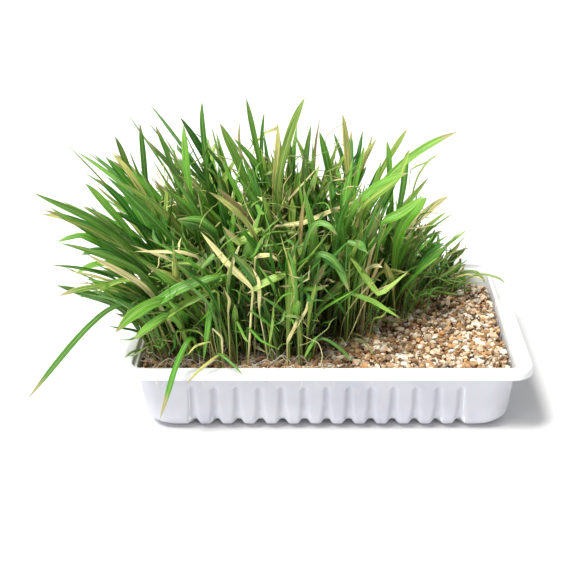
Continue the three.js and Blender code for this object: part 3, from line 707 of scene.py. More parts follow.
# Every lead blade: colour kind, root, the point it arches towards, tip, width
leadBlades = [
    ("green", (-82, -40), (-103, -64, 134), (-168, -72, 23), 3.9),
    ("green", (-70, -46), (-67, -86, 104), (-92, -87, 20), 3.8),
    ("yellow", (-52, -54), (-54, -74, 64), (-76, -85, 40), 1.8),
    ("green", (-60, -56), (-66, -75, 64), (-45, -82, 44), 1.6),
    ("blue", (-4, -46), (-8, -59, 72), (15, -60, 42), 2.2),
    ("green", (-8, -50), (0, -60, 76), (-12, -62, 43), 2.2),
    # along the top
    ("green", (-58, 30), (-55, 26, 126), (-82, -2, 166), 5.0),
    ("green", (-62, 8), (-74, 4, 140), (-69, 0, 174), 3.9),
    ("green", (-64, -8), (-82, -15, 133), (-79, -18, 166), 4.9),
    ("green", (-70, 22), (-90, 25, 130), (-100, 24, 153), 3.5),
    ("green", (-34, 16), (-43, 16, 134), (-61, 8, 159), 5.7),
    ("green", (-28, 30), (-41, 31, 144), (-47, 28, 168), 4.1),
    ("straw", (-44, 46), (-56, 44, 131), (-52, 42, 149), 2.1),
    ("green", (-30, 52), (-47, 52, 123), (-38, 52, 153), 2.7),
    ("yellow", (-24, 14), (-36, 3, 140), (-27, 4, 159), 4.0),
    ("lime", (-22, -2), (-42, -1, 143), (-12, 4, 175), 5.6),
    ("green", (-92, 40), (-120, 44, 105), (-112, 40, 150), 4.2),
    ("lime", (-96, 14), (-113, 13, 134), (-122, 8, 151), 4.0),
    ("yellow", (-86, 12), (-100, -14, 143), (-121, -8, 146), 3.9),
    ("green", (-84, -6), (-101, -13, 114), (-129, -16, 134), 4.5),
    ("green", (-92, -20), (-104, -24, 120), (-134, -28, 135), 5.0),
    ("green", (-40, -14), (-67, -42, 141), (-81, -38, 117), 6.6),
    # the right half
    ("green", (4, 30), (9, 22, 119), (-4, 22, 150), 5.3),
    ("yellow", (10, 8), (18, 6, 130), (9, 4, 166), 4.5),
    ("green", (-6, 30), (-21, 37, 105), (-9, 32, 123), 3.0),
    ("green", (0, 50), (-9, 50, 95), (0, 50, 118), 3.1),
    ("green", (42, 38), (42, 37, 121), (36, 40, 138), 4.2),
    ("lime", (26, 36), (26, 48, 133), (50, 52, 142), 4.0),
    ("green", (38, 20), (45, 20, 127), (49, 20, 139), 4.7),
    ("green", (4, 4), (20, -9, 158), (74, -2, 157), 5.1),
    ("green", (2, -12), (3, -25, 152), (45, -26, 141), 5.0),
    ("dark", (50, 48), (50, 53, 137), (70, 54, 125), 1.6),
    ("green", (42, 12), (34, -4, 113), (58, -4, 118), 7.5),
    ("blue", (0, -14), (17, -51, 144), (22, -44, 101), 3.9),
    ("blue", (-6, -24), (-11, -64, 146), (9, -56, 94), 4.3),
    ("blue", (-22, -30), (-10, -63, 168), (6, -60, 118), 3.7),
    ("lime", (-22, -46), (-18, -51, 89), (-18, -52, 109), 4.9),
    ("straw", (20, -14), (18, -38, 112), (31, -38, 88), 2.8),
    # wisps in the back right corner
    ("green", (62, 44), (72, 44, 62), (70, 44, 64), 1.9),
    ("dark", (60, 24), (51, 22, 95), (71, 20, 88), 1.6),
    ("straw", (64, 52), (70, 52, 62), (58, 52, 84), 1.6),
    ("dark", (68, 50), (80, 50, 66), (92, 50, 63), 1.6),
    ("green", (66, 34), (74, 29, 59), (88, 28, 62), 1.6),
    ("lime", (64, 40), (100, 36, 69), (101, 32, 47), 2.3),
    ("dark", (66, 30), (103, 14, 57), (110, 14, 54), 1.6),
    # the left side
    ("yellow", (-96, 0), (-128, -13, 128), (-163, -14, 112), 3.4),
    ("green", (-96, -14), (-127, -41, 129), (-140, -40, 109), 3.9),
    ("green", (-98, -10), (-128, -20, 120), (-154, -22, 98), 3.4),
    ("blue", (-90, -30), (-120, -48, 133), (-134, -50, 102), 4.4),
    ("green", (-94, -34), (-114, -60, 137), (-135, -62, 95), 3.8),
    ("lime", (-90, -44), (-105, -67, 119), (-144, -70, 86), 3.7),
    ("lime", (-84, -46), (-95, -69, 129), (-123, -72, 89), 3.2),
    ("green", (-78, -48), (-77, -71, 120), (-113, -82, 71), 6.9),
    ("green", (-73, -52), (-83, -70, 104), (-103, -80, 65), 4.8),
    ("dark", (-92, -52), (-105, -64, 108), (-109, -68, 74), 1.6),
    ("dark", (-96, -48), (-105, -62, 52), (-110, -76, 52), 1.6),
]

# Bent leaves at the front and wisps along the edges: colour kind, width, then the points
# along each
bentLeaves = [
    ("lime", 3.6, (13, -36, 95), (29, -48, 76), (45, -44, 90)),
    ("green", 3.0, (13, -46, 77), (26, -50, 74), (41, -54, 65)),
    ("lime", 5.0, (-22, -56, 93), (-31, -59, 90), (-43, -62, 84)),
    ("lime", 5.2, (-21, -56, 61), (-19, -56, 88), (-18, -52, 110)),
    ("straw", 2.2, (-22, -60, 55), (-11, -60, 73), (-10, -58, 83)),
    ("green", 3.0, (-14, -56, 84), (-5, -57, 85), (1, -58, 88)),
    ("green", 2.2, (-16, -56, 86), (-21, -56, 87), (-26, -57, 87)),
    ("blue", 4.4, (-4, -48, 102), (7, -54, 97), (12, -58, 83)),
    ("blue", 3.6, (11, -38, 105), (17, -42, 105), (23, -46, 101)),
    ("green", 5.2, (-60, -34, 108), (-70, -38, 118), (-81, -42, 119)),
    ("lime", 5.4, (-36, -34, 112), (-48, -42, 105), (-57, -40, 115)),
    ("straw", 3.0, (-31, -28, 110), (-13, -30, 112), (21, -20, 123)),
    ("straw", 4.0, (-40, -62, 87), (-54, -58, 99), (-68, -50, 116)),
    ("green", 6.6, (-54, -60, 95), (-78, -66, 89), (-115, -74, 68)),
    ("lime", 4.4, (-59, -62, 87), (-78, -66, 79), (-104, -72, 61)),
    ("blue", 3.0, (-60, -56, 105), (-62, -58, 103), (-70, -62, 96)),
    ("lime", 2.6, (-67, -60, 100), (-78, -60, 102), (-89, -62, 99)),
    ("straw", 2.4, (-68, -56, 103), (-77, -60, 108), (-102, -66, 110)),
    ("straw", 1.6, (-54, -62, 73), (-53, -62, 80), (-56, -60, 86)),
    ("straw", 2.2, (-37, -60, 73), (-37, -60, 91), (-41, -58, 99)),
    ("straw", 3.0, (-39, -50, 101), (-30, -54, 104), (-26, -56, 101)),
    ("green", 3.0, (-62, -64, 83), (-66, -66, 60), (-69, -64, 43)),
    ("yellow", 1.4, (-64, -66, 57), (-72, -68, 55), (-77, -68, 49)),
    ("straw", 1.2, (-63, -66, 66), (-57, -66, 60), (-58, -66, 45)),
    ("green", 6.0, (31, -20, 109), (42, -22, 115), (55, -24, 126)),
    ("lime", 4.6, (19, -18, 116), (40, -20, 135), (46, -18, 152)),
    ("dark", 1.2, (49, 10, 131), (57, 10, 134), (64, 10, 139)),
    ("dark", 0.8, (-27, 10, 138), (-14, 10, 138), (-12, 10, 131), (-4, 10, 140), (5, 10, 141)),
    ("straw", 1.2, (44, 10, 93), (55, 8, 94), (66, 6, 97)),
    ("dark", 1.0, (51, 10, 81), (60, 8, 90), (69, 6, 94)),
    ("dark", 1.0, (70, 40, 56), (79, 42, 63), (91, 44, 65)),
    ("straw", 1.6, (82, 30, 52), (89, 26, 56), (100, 22, 53)),
    ("dark", 1.6, (40, 6, 94), (53, 14, 79), (62, 22, 64)),
    ("straw", 0.8, (54, 12, 99), (58, 14, 87), (65, 22, 67)),
    ("dark", 1.6, (66, 30, 52), (67, 30, 61), (67, 30, 70)),
    ("dark", 0.9, (82, 36, 49), (77, 38, 57), (76, 40, 66)),
    ("dark", 1.4, (70, 30, 51), (81, 32, 57), (88, 34, 60)),
    ("dark", 0.9, (74, 28, 51), (86, 26, 50), (100, 20, 52)),
    ("green", 1.2, (55, 24, 55), (65, 24, 56), (81, 20, 51)),
    ("green", 1.4, (49, 6, 49), (62, 8, 53), (82, 4, 52)),
    ("dark", 0.8, (13, 10, 130), (20, 10, 135), (18, 10, 131)),
    ("blue", 1.6, (-100, -58, 81), (-105, -60, 77), (-109, -60, 71)),
    ("dark", 1.0, (-98, -64, 53), (-106, -68, 50), (-111, -70, 51)),
    ("green", 1.4, (-44, -60, 63), (-37, -64, 56), (-27, -66, 53)),
    ("green", 1.6, (-50, -60, 67), (-45, -62, 58), (-41, -64, 54)),
    ("lime", 1.6, (-32, -64, 52), (-30, -62, 67), (-28, -58, 79)),
    ("straw", 1.8, (-22, -62, 53), (-16, -60, 68), (-15, -58, 74)),
]

# Leaves that have dropped on the granules: colour kind, width, both ends
fallenLeaves = [
    ("dark", 2.4, (-2, -31, 39.5), (15, -56, 39)),
    ("lime", 2.8, (-4, -21, 42), (-11, -57, 39.5)),
    ("straw", 1.4, (24, -30, 39), (9, -22, 40)),
]

# How yellow, how dry and how blue each kind is, from 0 to 1
kindMoods = {
    "green": (0.0, 0.0, 0.0), "lime": (0.32, 0.0, 0.0), "yellow": (0.85, 0.15, 0.0),
    "straw": (0.4, 1.0, 0.0), "dark": (0.1, 0.25, 0.6), "blue": (0.0, 0.0, 0.85),
}


# The grass stands to the left of this line
def bareEdgeAt(y):
    back = y + tray["width"] / 2 - grass["bareEdgeFrom"]
    return grass["bareEdgeAtFront"] + back * grass["bareEdgeSlant"]


def bunchPlaces():
    places = []
    for y in grass["rows"]:
        x = grass["first"]
        while x < bareEdgeAt(y):
            places.append(np.array([x, y, float(bedHeight(y))]))
            x += grass["spacing"]
    return places


def nearest(places, spot):
    return int(np.argmin([math.dist(place[:2], spot) for place in places]))


# How tall the stand is above the bed
def standHeight(x, y):
    leftFall = np.maximum(grass["leftEdge"] - x, 0) * grass["leftFall"]
    rightFall = np.maximum(x - grass["rightEdge"], 0) * grass["rightFall"]
    front = 1 - np.maximum(grass["frontEdge"] - y, 0) * grass["frontFall"]
    return np.maximum(grass["top"] - leftFall - rightFall, grass["lowest"]) * front


# Painted shade at each point: the deeper in the stand, and the lower, the darker
def shadeAt(points):
    x, y, z = points.T
    halfWidth, halfLength = (tray[side] / 2 - grass["shadeMargin"] for side in ("width", "length"))
    inside = np.minimum(x + halfLength, bareEdgeAt(y) + 8 - x)
    inside = np.minimum(inside, np.minimum(y + halfWidth, halfWidth - y))
    deep = smoothStep(grass["edgeShade"], grass["fullShade"], inside)
    height = (z - bed["level"]) / np.maximum(standHeight(x, y), 20)
    return 1 - grass["shade"] * deep * (1 - smoothStep(*grass["shadeUpTo"], height))


# Mirrored to behind the open strip along the front wall
def behindStrip(y):
    return y + 2 * max(grass["frontStrip"] - y, 0)


# A spot by chance in a circle round the middle of a bunch
def spotIn(place, radius, draw):
    away, turn = radius * math.sqrt(draw()), fullTurn * draw()
    return place[0] + away * math.cos(turn), place[1] + away * math.sin(turn)


# Where a given blade stands: in its bunch, as near as can be to the given root
def rootIn(place, root):
    out = np.array(root[:2], dtype=float) - place[:2]
    reach = grass["bunchRadius"] - grass["rootMargin"]
    out *= min(1, reach / max(np.linalg.norm(out), 1e-6))
    return np.array([*(place[:2] + out), place[2] - grass["rootSink"]])


# A blade of the fill, by the rule of the solid model, or a finer one or a stem
def fillBlade(place, draw, heightShare=1.0, widthShare=1.0, square=0):
    x, y = spotIn(place, grass["bunchRadius"] - grass["rootMargin"], draw)
    if square:  # anywhere in the square round the bunch, but not in the bare part
        x, y = place[0] + square * (2 * draw() - 1), place[1] + square * (2 * draw() - 1)
        x = min(x, bareEdgeAt(y) + grass["bareOverlap"])
    if heightShare < 1:
        y = behindStrip(y)
    height = standHeight(x, y) * chance(draw, grass["height"]) * heightShare
    stray = grass["stemStray"] if square else 1
    leanX = grass["leanX"] * x + grass["strayX"] * stray * (draw() - 0.5)
    leanY = grass["leanY"] * y - grass["leanFront"] + grass["strayY"] * stray * (draw() - 0.5)
    early, rise = chance(draw, grass["early"]), chance(draw, grass["rise"])
    width = chance(draw, grass["width"]) * (widthShare * grass["slim"])
    facing = fullTurn * draw()
    faces = np.array([math.cos(facing), math.sin(facing), 0.3])
    return {
        "root": np.array([x, y, place[2] - grass["rootSink"]]),
        "arch": np.array([x + height * leanX * early, y + height * leanY * early,
                          place[2] + height * rise]),
        "tip": np.array([x + height * leanX, y + height * leanY, place[2] + height]),
        "width": width, "faces": faces / np.linalg.norm(faces),
        "straight": grass["stemStraight" if square else "straight"],
        "free": (0, 0.4) if square else (0.25, 1.0),
    }


# A leaf that leans far over from a thin upright stalk, its upper side to the light
def crossLeaf(place, draw):
    x, y = spotIn(place, grass["bunchRadius"] - grass["rootMargin"], draw)
    y = behindStrip(y)
    height = standHeight(x, y) * chance(draw, grass["crossHeight"])
    heading = fullTurn * draw()
    reach = min(chance(draw, grass["crossReach"]), height * grass["crossSteep"])
    ahead = np.array([math.cos(heading), math.sin(heading), 0])
    rise = chance(draw, grass["crossRise"])
    base = np.array([x, y, place[2]])
    faces = np.array([0, 0, 1.0]) - 0.5 * ahead + (0, -0.35, 0)
    return {
        "root": base - (0, 0, grass["rootSink"]),
        "arch": base + ahead * reach * 0.12 + (0, 0, height * rise),
        "tip": base + ahead * reach + (0, 0, height),
        "width": chance(draw, grass["crossWidth"]), "faces": faces / np.linalg.norm(faces),
        "stalk": 0.3, "stalkEnd": 0.36, "widest": 0.6, "straight": 1.0,
    }


# A short leaf that arches over, low down
def lowLeaf(place, draw):
    x, y = spotIn(place, grass["bunchRadius"] + 1, draw)
    heading = fullTurn * draw()
    reach, height = chance(draw, grass["lowReach"]), chance(draw, grass["lowHeight"])
    ahead = np.array([math.cos(heading), math.sin(heading), 0])
    base = np.array([x, behindStrip(y), place[2]])
    return {
        "root": base - (0, 0, grass["rootSink"]),
        "arch": base + ahead * reach * (0.1 + 0.5 * draw()) + (0, 0, height * (1 + 0.3 * draw())),
        "tip": base + ahead * reach + (0, 0, max(height * draw(), 3)),
        "width": chance(draw, grass["lowWidth"]), "straight": 0.4 * draw(), "stalk": 0.6,
        "faces": np.array([-0.5 * ahead[0], -0.35 - 0.5 * ahead[1], 0.8]),
    }


# A thin dry fibre, or a small loose leaf, that winds through the stand
def wisp(place, draw, kind):
    x, y = spotIn(place, grass["bunchRadius"], draw)
    z = place[2] + 2 + standHeight(x, y) * 0.75 * draw() ** 1.2
    low, high = kind["length"]
    lengthOf = low + (high - low) * draw() ** 1.5
    t = np.linspace(0, 1, 26)
    winding = grass["winding"] * np.sin(fullTurn * ((0.5 + draw()) * t + draw()))
    turnAt, turnBy = 0.3 + 0.4 * draw(), 2.6 * (draw() - 0.5)
    heading = fullTurn * draw() + turnBy * smoothStep(turnAt, turnAt + 0.12, t) + winding
    climb = 1.5 * (draw() - 0.35)
    climb = climb + grass["climbing"] * np.sin(fullTurn * ((0.5 + draw()) * t + draw()))
    step = np.stack([np.cos(climb) * np.cos(heading), np.cos(climb) * np.sin(heading),
                     np.sin(climb)], axis=1) * lengthOf / len(t)
    line = np.cumsum(step, axis=0) + (x, y, z)
    low, high = kind["width"]
    colours = kind["kinds"]
    return {"line": line, "root": line[0], "width": low + (high - low) * draw() ** 2,
            "faces": np.array([0.1, -0.3, 0.94]),
            "stalk": kind["stalk"], "flat": kind["flat"],
            "kind": colours[int(draw() * len(colours)) % len(colours)]}


# What the rule draws in each bunch, in this order: how many, whether fewer where the stand
# is low, the first seed, and how often one that runs into something is drawn again; one on
# its own root may stand outside the bunch
growth = [
    {"count": grass["sprouts"], "seed": 1, "maker": fillBlade},
    {"count": grass["fineSprouts"], "thins": True, "seed": 51, "maker": fillBlade,
     "shape": {"heightShare": grass["fineHeight"], "widthShare": grass["fineWidth"]}},
    {"count": grass["stems"], "seed": 5001, "maker": fillBlade, "ownRoot": True,
     "shape": {"heightShare": grass["stemHeight"], "widthShare": grass["stemWidth"],
               "square": grass["stemReach"]},
     "finish": {"shares": grass["stemShares"]}},
    {"count": grass["crossLeaves"], "thins": True, "seed": 9001, "maker": crossLeaf,
     "finish": {"twist": 0.3}},
    {"count": grass["lowLeaves"], "thins": True, "seed": 17001, "maker": lowLeaf,
     "ownRoot": True, "finish": {"shares": grass["lowShares"]}},
    {"count": grass["wisps"], "seed": 13001, "maker": wisp, "tries": 1,
     "shape": {"kind": grass["wisp"]}, "finish": {"twist": 0}},
    {"count": grass["shreds"], "thins": True, "seed": 21001, "maker": wisp, "tries": 1,
     "shape": {"kind": grass["shred"]}, "finish": {"twist": 0.8}},
]


# A blade of one kind that is clear of the rim and the bed, if there is one
def clearBlade(kind, place, draw):
    for _ in range(kind.get("tries", 60)):
        blade = kind["maker"](place, draw, **kind.get("shape", {}))
        if not fouls(blade, blade["root"] if kind.get("ownRoot") else place):
            return blade
    return None


def bezier(blade, s):
    s = np.asarray(s, dtype=float)[..., None]
    return blade["root"] * (1 - s) ** 2 + 2 * blade["arch"] * s * (1 - s) + blade["tip"] * s * s


# The middle line of a blade: its even curve, drawn towards two straight parts that meet in
# a soft knee, or else its own points
def middleLine(blade, s):
    if "line" in blade:
        t = np.linspace(0, 1, len(blade["line"]))
        return np.stack([np.interp(s, t, axis) for axis in blade["line"].T], axis=1)
    knee, soft = grass["knee"], grass["kneeSoft"]
    corner = bezier(blade, knee)
    bend = np.clip(s - knee + soft, 0, 2 * soft) ** 2 / (4 * soft)
    past = bend + np.maximum(s - knee - soft, 0)
    first, second = ((s - past) / knee)[:, None], (past / (1 - knee))[:, None]
    kneed = blade["root"] + (corner - blade["root"]) * first + (blade["tip"] - corner) * second
    return bezier(blade, s) * (1 - blade["straight"]) + kneed * blade["straight"]


# Whether a blade runs into the rim of the tray or into the bed round its bunch, or
# reaches past the box of the solid model
def fouls(blade, place, wide=False):
    clearance = grass["rimClearance"] + blade["width"] / 2
    p = middleLine(blade, np.linspace(0, 1, 26))
    outX = np.abs(p[:, 0]) - tray["length"] / 2
    outY = np.abs(p[:, 1]) - tray["width"] / 2
    nearRim = (outX > -grass["rimReach"]) | (outY > -grass["rimReach"])
    overTray = (outX < clearance) & (outY < clearance)
    low = nearRim & overTray & (p[:, 2] < tray["height"] + clearance)
    overBunch = np.hypot(p[:, 0] - place[0], p[:, 1] - place[1]) < grass["bunchRadius"] - 1
    inBed = overTray & ~overBunch & (p[:, 2] < bed["level"] + grass["bedClearance"])
    lowest, highest = (np.array(corner) / mm for corner in cadBounds)
    outside = np.any(p < lowest - 0.5) or np.any(p > highest + 0.5)
    return bool(np.any(low | inBed) or (outside and not wide))


def leadBlade(lead, place):
    kind, root, arch, tip, width = lead
    blade = {
        "root": rootIn(place, root),
        "arch": np.array(arch, dtype=float), "tip": np.array(tip, dtype=float),
        "width": width * grass["slim"], "kind": kind, "straight": grass["leadStraight"],
        "faces": np.array([0, -0.9, 0.43]),
        "stalk": grass["leadStalk"], "widest": grass["leadWidest"],
    }
    for _ in range(12):  # one that runs into the rim arches higher
        if not fouls(blade, place, wide=True):
            break
        blade["arch"][2] += 5
    return blade


# A line through points with slightly rounded corners, and where the points are along it
def roundedLine(points, samples=60, reach=1):
    points = np.array(points, dtype=float)
    length = np.concatenate([[0], np.cumsum(np.linalg.norm(np.diff(points, axis=0), axis=1))])
    at = np.linspace(0, length[-1], samples)
    line = np.stack([np.interp(at, length, axis) for axis in points.T], axis=1)
    padded = np.pad(line, ((reach, reach), (0, 0)), mode="reflect", reflect_type="odd")
    smooth = [padded[i:i + samples] for i in range(2 * reach + 1)]
    return np.mean(smooth, axis=0), length / length[-1]


# A leaf along given points, on a thin stalk from the bunch
def bentLeaf(leaf, place):
    kind, width, *points = leaf
    root = rootIn(place, points[0])
    line, shares = roundedLine([root, *points])
    stalkEnd = min(max(shares[1] - 0.04, 0.05), 0.9)
    return {"line": line, "root": root, "width": width, "kind": kind,
            "faces": np.array([0, -0.64, 0.77]), "stalk": min(0.3, 1.2 / width),
            "stalkEnd": stalkEnd, "widest": stalkEnd + 0.35 * (1 - stalkEnd)}


def fallenLeaf(leaf, _):
    kind, width, first, last = leaf
    middle = (np.array(first) + np.array(last)) / 2 + (1.2, 0.6, 0.9)
    line = roundedLine([first, middle, last], reach=12)[0]
    return {"line": line, "root": line[0], "width": width, "kind": kind,
            "faces": np.array([0, -0.2, 0.98]), "stalk": 0.5}


# Width of a blade along its length: a narrow stalk, full in the middle, a long point
def widthAt(blade, s):
    stalk, stalkEnd, widest = (blade.get(key, grass[key])
                               for key in ("stalk", "stalkEnd", "widest"))
    opened = np.clip((s - stalkEnd) / (widest - stalkEnd), 0, 1)
    low = stalk + (1 - stalk) * np.sin(opened * math.pi / 2) ** 2
    high = 1 - np.clip((s - widest) / (1 - widest), 0, 1) ** 2.5
    return np.where(s < widest, low, high)


# Points, faces and marks of one blade, closed all round: a stalk that opens into a
# channelled leaf with a keel under it
def bladeMesh(blade):
    isLong = "line" in blade or blade["arch"][2] > grass["longFrom"]
    steps = grass["longSteps" if isLong else "steps"]
    flat = blade.get("flat", 1)
    count = grass["ringPoints" if flat else "wispPoints"]
    s = np.linspace(0, 1, steps + 1) ** 0.95
    here = middleLine(blade, s)
    along = np.gradient(here, axis=0)
    along /= np.linalg.norm(along, axis=1)[:, None]
    across = np.cross(along, blade["faces"])
    across /= np.linalg.norm(across, axis=1)[:, None] + 1e-9
    up = np.cross(across, along)
    free = smoothStep(*blade.get("free", (0.25, 1.0)), s)[:, None]
    twist = blade["twist"] * smoothStep(0.3, 1.0, s)[:, None]
    across, up = (across * np.cos(twist) + up * np.sin(twist),
                  up * np.cos(twist) - across * np.sin(twist))
    sway = blade["sway"] * np.sin(s * math.pi * blade["swayTurns"] + blade["swayStart"])[:, None]
    here = here + across * sway * free
    # the round stalk turns into a thin leaf
    half = (blade["width"] / 2 * widthAt(blade, s))[:, None]
    stalkEnd = blade.get("stalkEnd", grass["stalkEnd"])
    leaf = flat * smoothStep(stalkEnd, stalkEnd + 0.25, s)[:, None]
    deep = half * (0.85 * (1 - leaf)) + grass["edge"] * leaf
    deep = deep * (1 - 0.5 * smoothStep(0.85, 1, s)[:, None])
    channel = blade["channel"] * leaf * (1 - 0.5 * smoothStep(0.7, 1, s)[:, None])
    angle = np.linspace(0, fullTurn, count, endpoint=False)[None, :]
    cos, sin = np.cos(angle), np.sin(angle)
    x = cos * half
    ridge = 1 + grass["keel"] * leaf * (1 - np.abs(cos)) ** 3 * (sin < 0)
    y = sin * deep * ridge + np.abs(cos) * half * channel
    y = y + grass["ripple"] * half * leaf * np.sin(s * 40 + blade["swayStart"])[:, None] * cos
    points = here[:, None, :] + across[:, None, :] * x[..., None] + up[:, None, :] * y[..., None]
    points = np.vstack([points[:-1].reshape(-1, 3), here[-1]])
    sides, first, last = tubeFaces(steps, count)
    faces = [first, *sides, *fan(last, steps * count)]
    place = [np.broadcast_to(part, (steps, count)) for part in (cos, s[:-1, None], sin < -0.1)]
    place = np.vstack([np.stack(place, axis=2).reshape(-1, 3), [0, 1, 0]])
    mood = np.tile(blade["mood"], (len(points), 1))
    other = np.tile([blade["tone"], blade["seed"], blade["tipDry"]], (len(points), 1))
    # Painted shade deep and low in the stand, carried to the leaf colour
    depth = np.zeros((len(points), 3))
    depth[:, 0] = shadeAt(points)
    return points, faces, place, mood, other, depth


# What differs from blade to blade besides its curve
def finishBlade(blade, random, twist=0.5, shares=None):
    kinds = list(kindMoods)
    kind = blade.get("kind") or kinds[random.choice(len(kinds), p=shares or grass["shares"])]
    mood = np.array(kindMoods[kind])
    blade["mood"] = np.clip(mood + random.uniform(*grass["moodStray"], 3), 0, 1)
    tone = random.uniform()
    blade["tone"] = 0.3 + 0.6 * tone if "line" in blade and blade.get("flat", 1) else tone
    blade["seed"] = random.uniform()
    blade["tipDry"] = random.uniform() ** 3
    blade["twist"] = random.normal(0, twist)
    blade["sway"] = random.uniform(*grass["sway"]) * (grass["stemSway"] if shares else 1)
    blade["swayTurns"] = random.uniform(*grass["swayTurns"])
    blade["swayStart"] = random.uniform(0, fullTurn)
    blade["channel"] = random.uniform(*grass["channel"])
    return blade


def makeLeafMaterial():
    material, tree, shader = newMaterial("leaf", 0.45, 0.28)
    across, along, under = readMarks(tree, "leafPlace")
    yellow, dry, blue = readMarks(tree, "leafMood")
    tone, seed, tipDry = readMarks(tree, "leafOther")
    lines = useGroup(tree, fibres, Across=across, Along=along, Seed=seed, Count=7.0)
    streaks = mapRange(tree, lines["Streaks"], 0.38, 0.62)
    colour = mixColour(tree, mapRange(tree, tone, 0.1, 0.95),
                       ramp(tree, along, grass["deepGreen"]),
                       ramp(tree, along, grass["brightGreen"]))
    blueMask = calc(tree, "MAXIMUM", times(tree, blue, 0.62), times(tree, under, 0.25))
    colour = mixColour(tree, blueMask, colour, grass["blueGreen"])
    yellowMask = times(tree, yellow, timesPlus(tree, streaks, 0.65, 0.35))
    colour = mixColour(tree, yellowMask, colour, grass["yellowed"])
    dryMask = times(tree, dry, timesPlus(tree, streaks, 0.3, 0.7))
    straw = mixColour(tree, mapRange(tree, tone, 0.0, 0.6), grass["straw"], grass["strawPale"])
    colour = mixColour(tree, dryMask, colour, straw)
    start = timesPlus(tree, tipDry, -0.14, 1.03)
    tipMask = mapRange(tree, along, calc(tree, "SUBTRACT", start, 0.05),
                       calc(tree, "ADD", start, 0.02))
    colour = mixColour(tree, times(tree, tipMask, 0.8), colour, grass["dryTip"])
    veins = timesPlus(tree, lines["Lines"], 0.5, 0.70)
    shade = times(tree, veins, timesPlus(tree, streaks, 0.4, 0.8))
    # Painted shade deep and low in the stand
    shade = times(tree, shade, readMarks(tree, "leafShade")[0])
    colour = shaded(tree, colour, shade)
    rib = times(tree, mapRange(tree, calc(tree, "ABSOLUTE", across), 0.16, 0.02), 0.4)
    colour = mixColour(tree, rib, colour, grass["rib"])
    rough = timesPlus(tree, dry, 0.25, timesPlus(tree, streaks, 0.14, 0.36))
    setSurface(tree, shader, colour, rough, bump(tree, lines["Lines"], 0.25, 0.0002))
    return material


# Seeds and roots at the foot of the sprouts

# A pair marked * is for chance(), as above
litter = {
    "seedsInBunch": 9, "rootsInBunch": 16,
    "strip": (-98, 2, 11), "stripY": -58,  # more along the front: from x to x in steps, and y
    "seedSize": (3.3, 1.45, 1.35), "seedRows": 9, "seedPoints": 10,
    "seedScale": (0.7, 0.45), "seedAway": (3, 10), "seedRise": (1.0, 0.7),  # *
    "crease": 0.3, "creaseWidth": 0.25,
    "rootAway": (5, 9), "rootRise": (0.6, 0.5), "rootLength": (6, 12),  # *
    "rootRadius": (0.16, 0.18),  # *
    "rootTurn": 2.4, "rootBend": 2.2, "rootBow": (0.9, 9), "rootSteps": 10, "rootPoints": 6,
    "husk": (0.26, 0.12, 0.05), "huskPale": (0.62, 0.42, 0.23), "root": (0.80, 0.76, 0.66),
}


def seedMesh(place, draw):
    rows, count = litter["seedRows"], litter["seedPoints"]
    t = np.linspace(0, math.pi, rows + 2)[1:-1]
    angle = np.linspace(0, fullTurn, count, endpoint=False)
    girth = np.sin(t) ** 0.8
    grid = np.stack([np.repeat(-np.cos(t), count), np.outer(girth, np.cos(angle)).ravel(),
                     np.outer(girth, np.sin(angle)).ravel()], axis=1)
    crease = litter["crease"] * np.exp(-(grid[:, 1] / litter["creaseWidth"]) ** 2)
    grid[:, 2] *= 1 - crease * (grid[:, 2] > 0)
    points = np.vstack([grid, [-1.06, 0, 0], [1.06, 0, 0]]) * np.array(litter["seedSize"])
    points = points * chance(draw, litter["seedScale"])
    sides, first, last = tubeFaces(rows, count)
    faces = [*sides, *fan(first, rows * count), *fan(last, rows * count + 1)]
    away, turn = chance(draw, litter["seedAway"]), fullTurn * draw()
    spin = (0.5 * (draw() - 0.5), 2.2 * (draw() - 0.5), fullTurn * draw())
    rise = chance(draw, litter["seedRise"])
    middle = place + (away * math.cos(turn), away * math.sin(turn), rise)
    marks = np.stack([np.concatenate([grid[:, 1], [0, 0]]),
                      np.concatenate([grid[:, 0] * 0.5 + 0.5, [0, 1]]),
                      np.full(len(points), draw())], axis=1)
    return turned(points, spin) + middle, faces, marks


# A thin root or dry fibre that lies in a bow on the granules
def rootMesh(place, draw):
    steps, count = litter["rootSteps"], litter["rootPoints"]
    turn, away = fullTurn * draw(), chance(draw, litter["rootAway"])
    rise = chance(draw, litter["rootRise"])
    heading = turn + litter["rootTurn"] * (draw() - 0.5)
    lengthOf = chance(draw, litter["rootLength"])
    bend = litter["rootBend"] * (draw() - 0.5)
    radius = chance(draw, litter["rootRadius"])
    bow = litter["rootBow"][0] + litter["rootBow"][1] * draw() ** 4  # few stand high
    t = np.linspace(0, 1, steps + 1)
    direction = heading + bend * t
    x = np.cumsum(np.cos(direction)) * lengthOf / steps
    y = np.cumsum(np.sin(direction)) * lengthOf / steps
    z = bow * np.sin(t * math.pi) + 0.35 * np.sin(t * 17)
    line = place + (away * math.cos(turn), away * math.sin(turn), rise)
    line = line + np.stack([x, y, z], axis=1)
    side = np.stack([-np.sin(direction), np.cos(direction), np.zeros(steps + 1)], axis=1)
    along = np.gradient(line, axis=0)
    along /= np.linalg.norm(along, axis=1)[:, None]
    up = np.cross(side, along)
    up /= np.linalg.norm(up, axis=1)[:, None]
    angle = np.linspace(0, fullTurn, count, endpoint=False)
    offset = (side[:, None, :] * np.cos(angle)[None, :, None]
              - up[:, None, :] * np.sin(angle)[None, :, None])
    size = radius * (1 - 0.7 * t)[:, None, None]
    points = (line[:, None, :] + offset * size).reshape(-1, 3)
    sides, first, last = tubeFaces(steps + 1, count)
    marks = np.stack([np.tile(np.cos(angle), steps + 1), np.repeat(t, count),
                      np.full(len(points), 0.5)], axis=1)
    return points, [first, last, *sides], marks


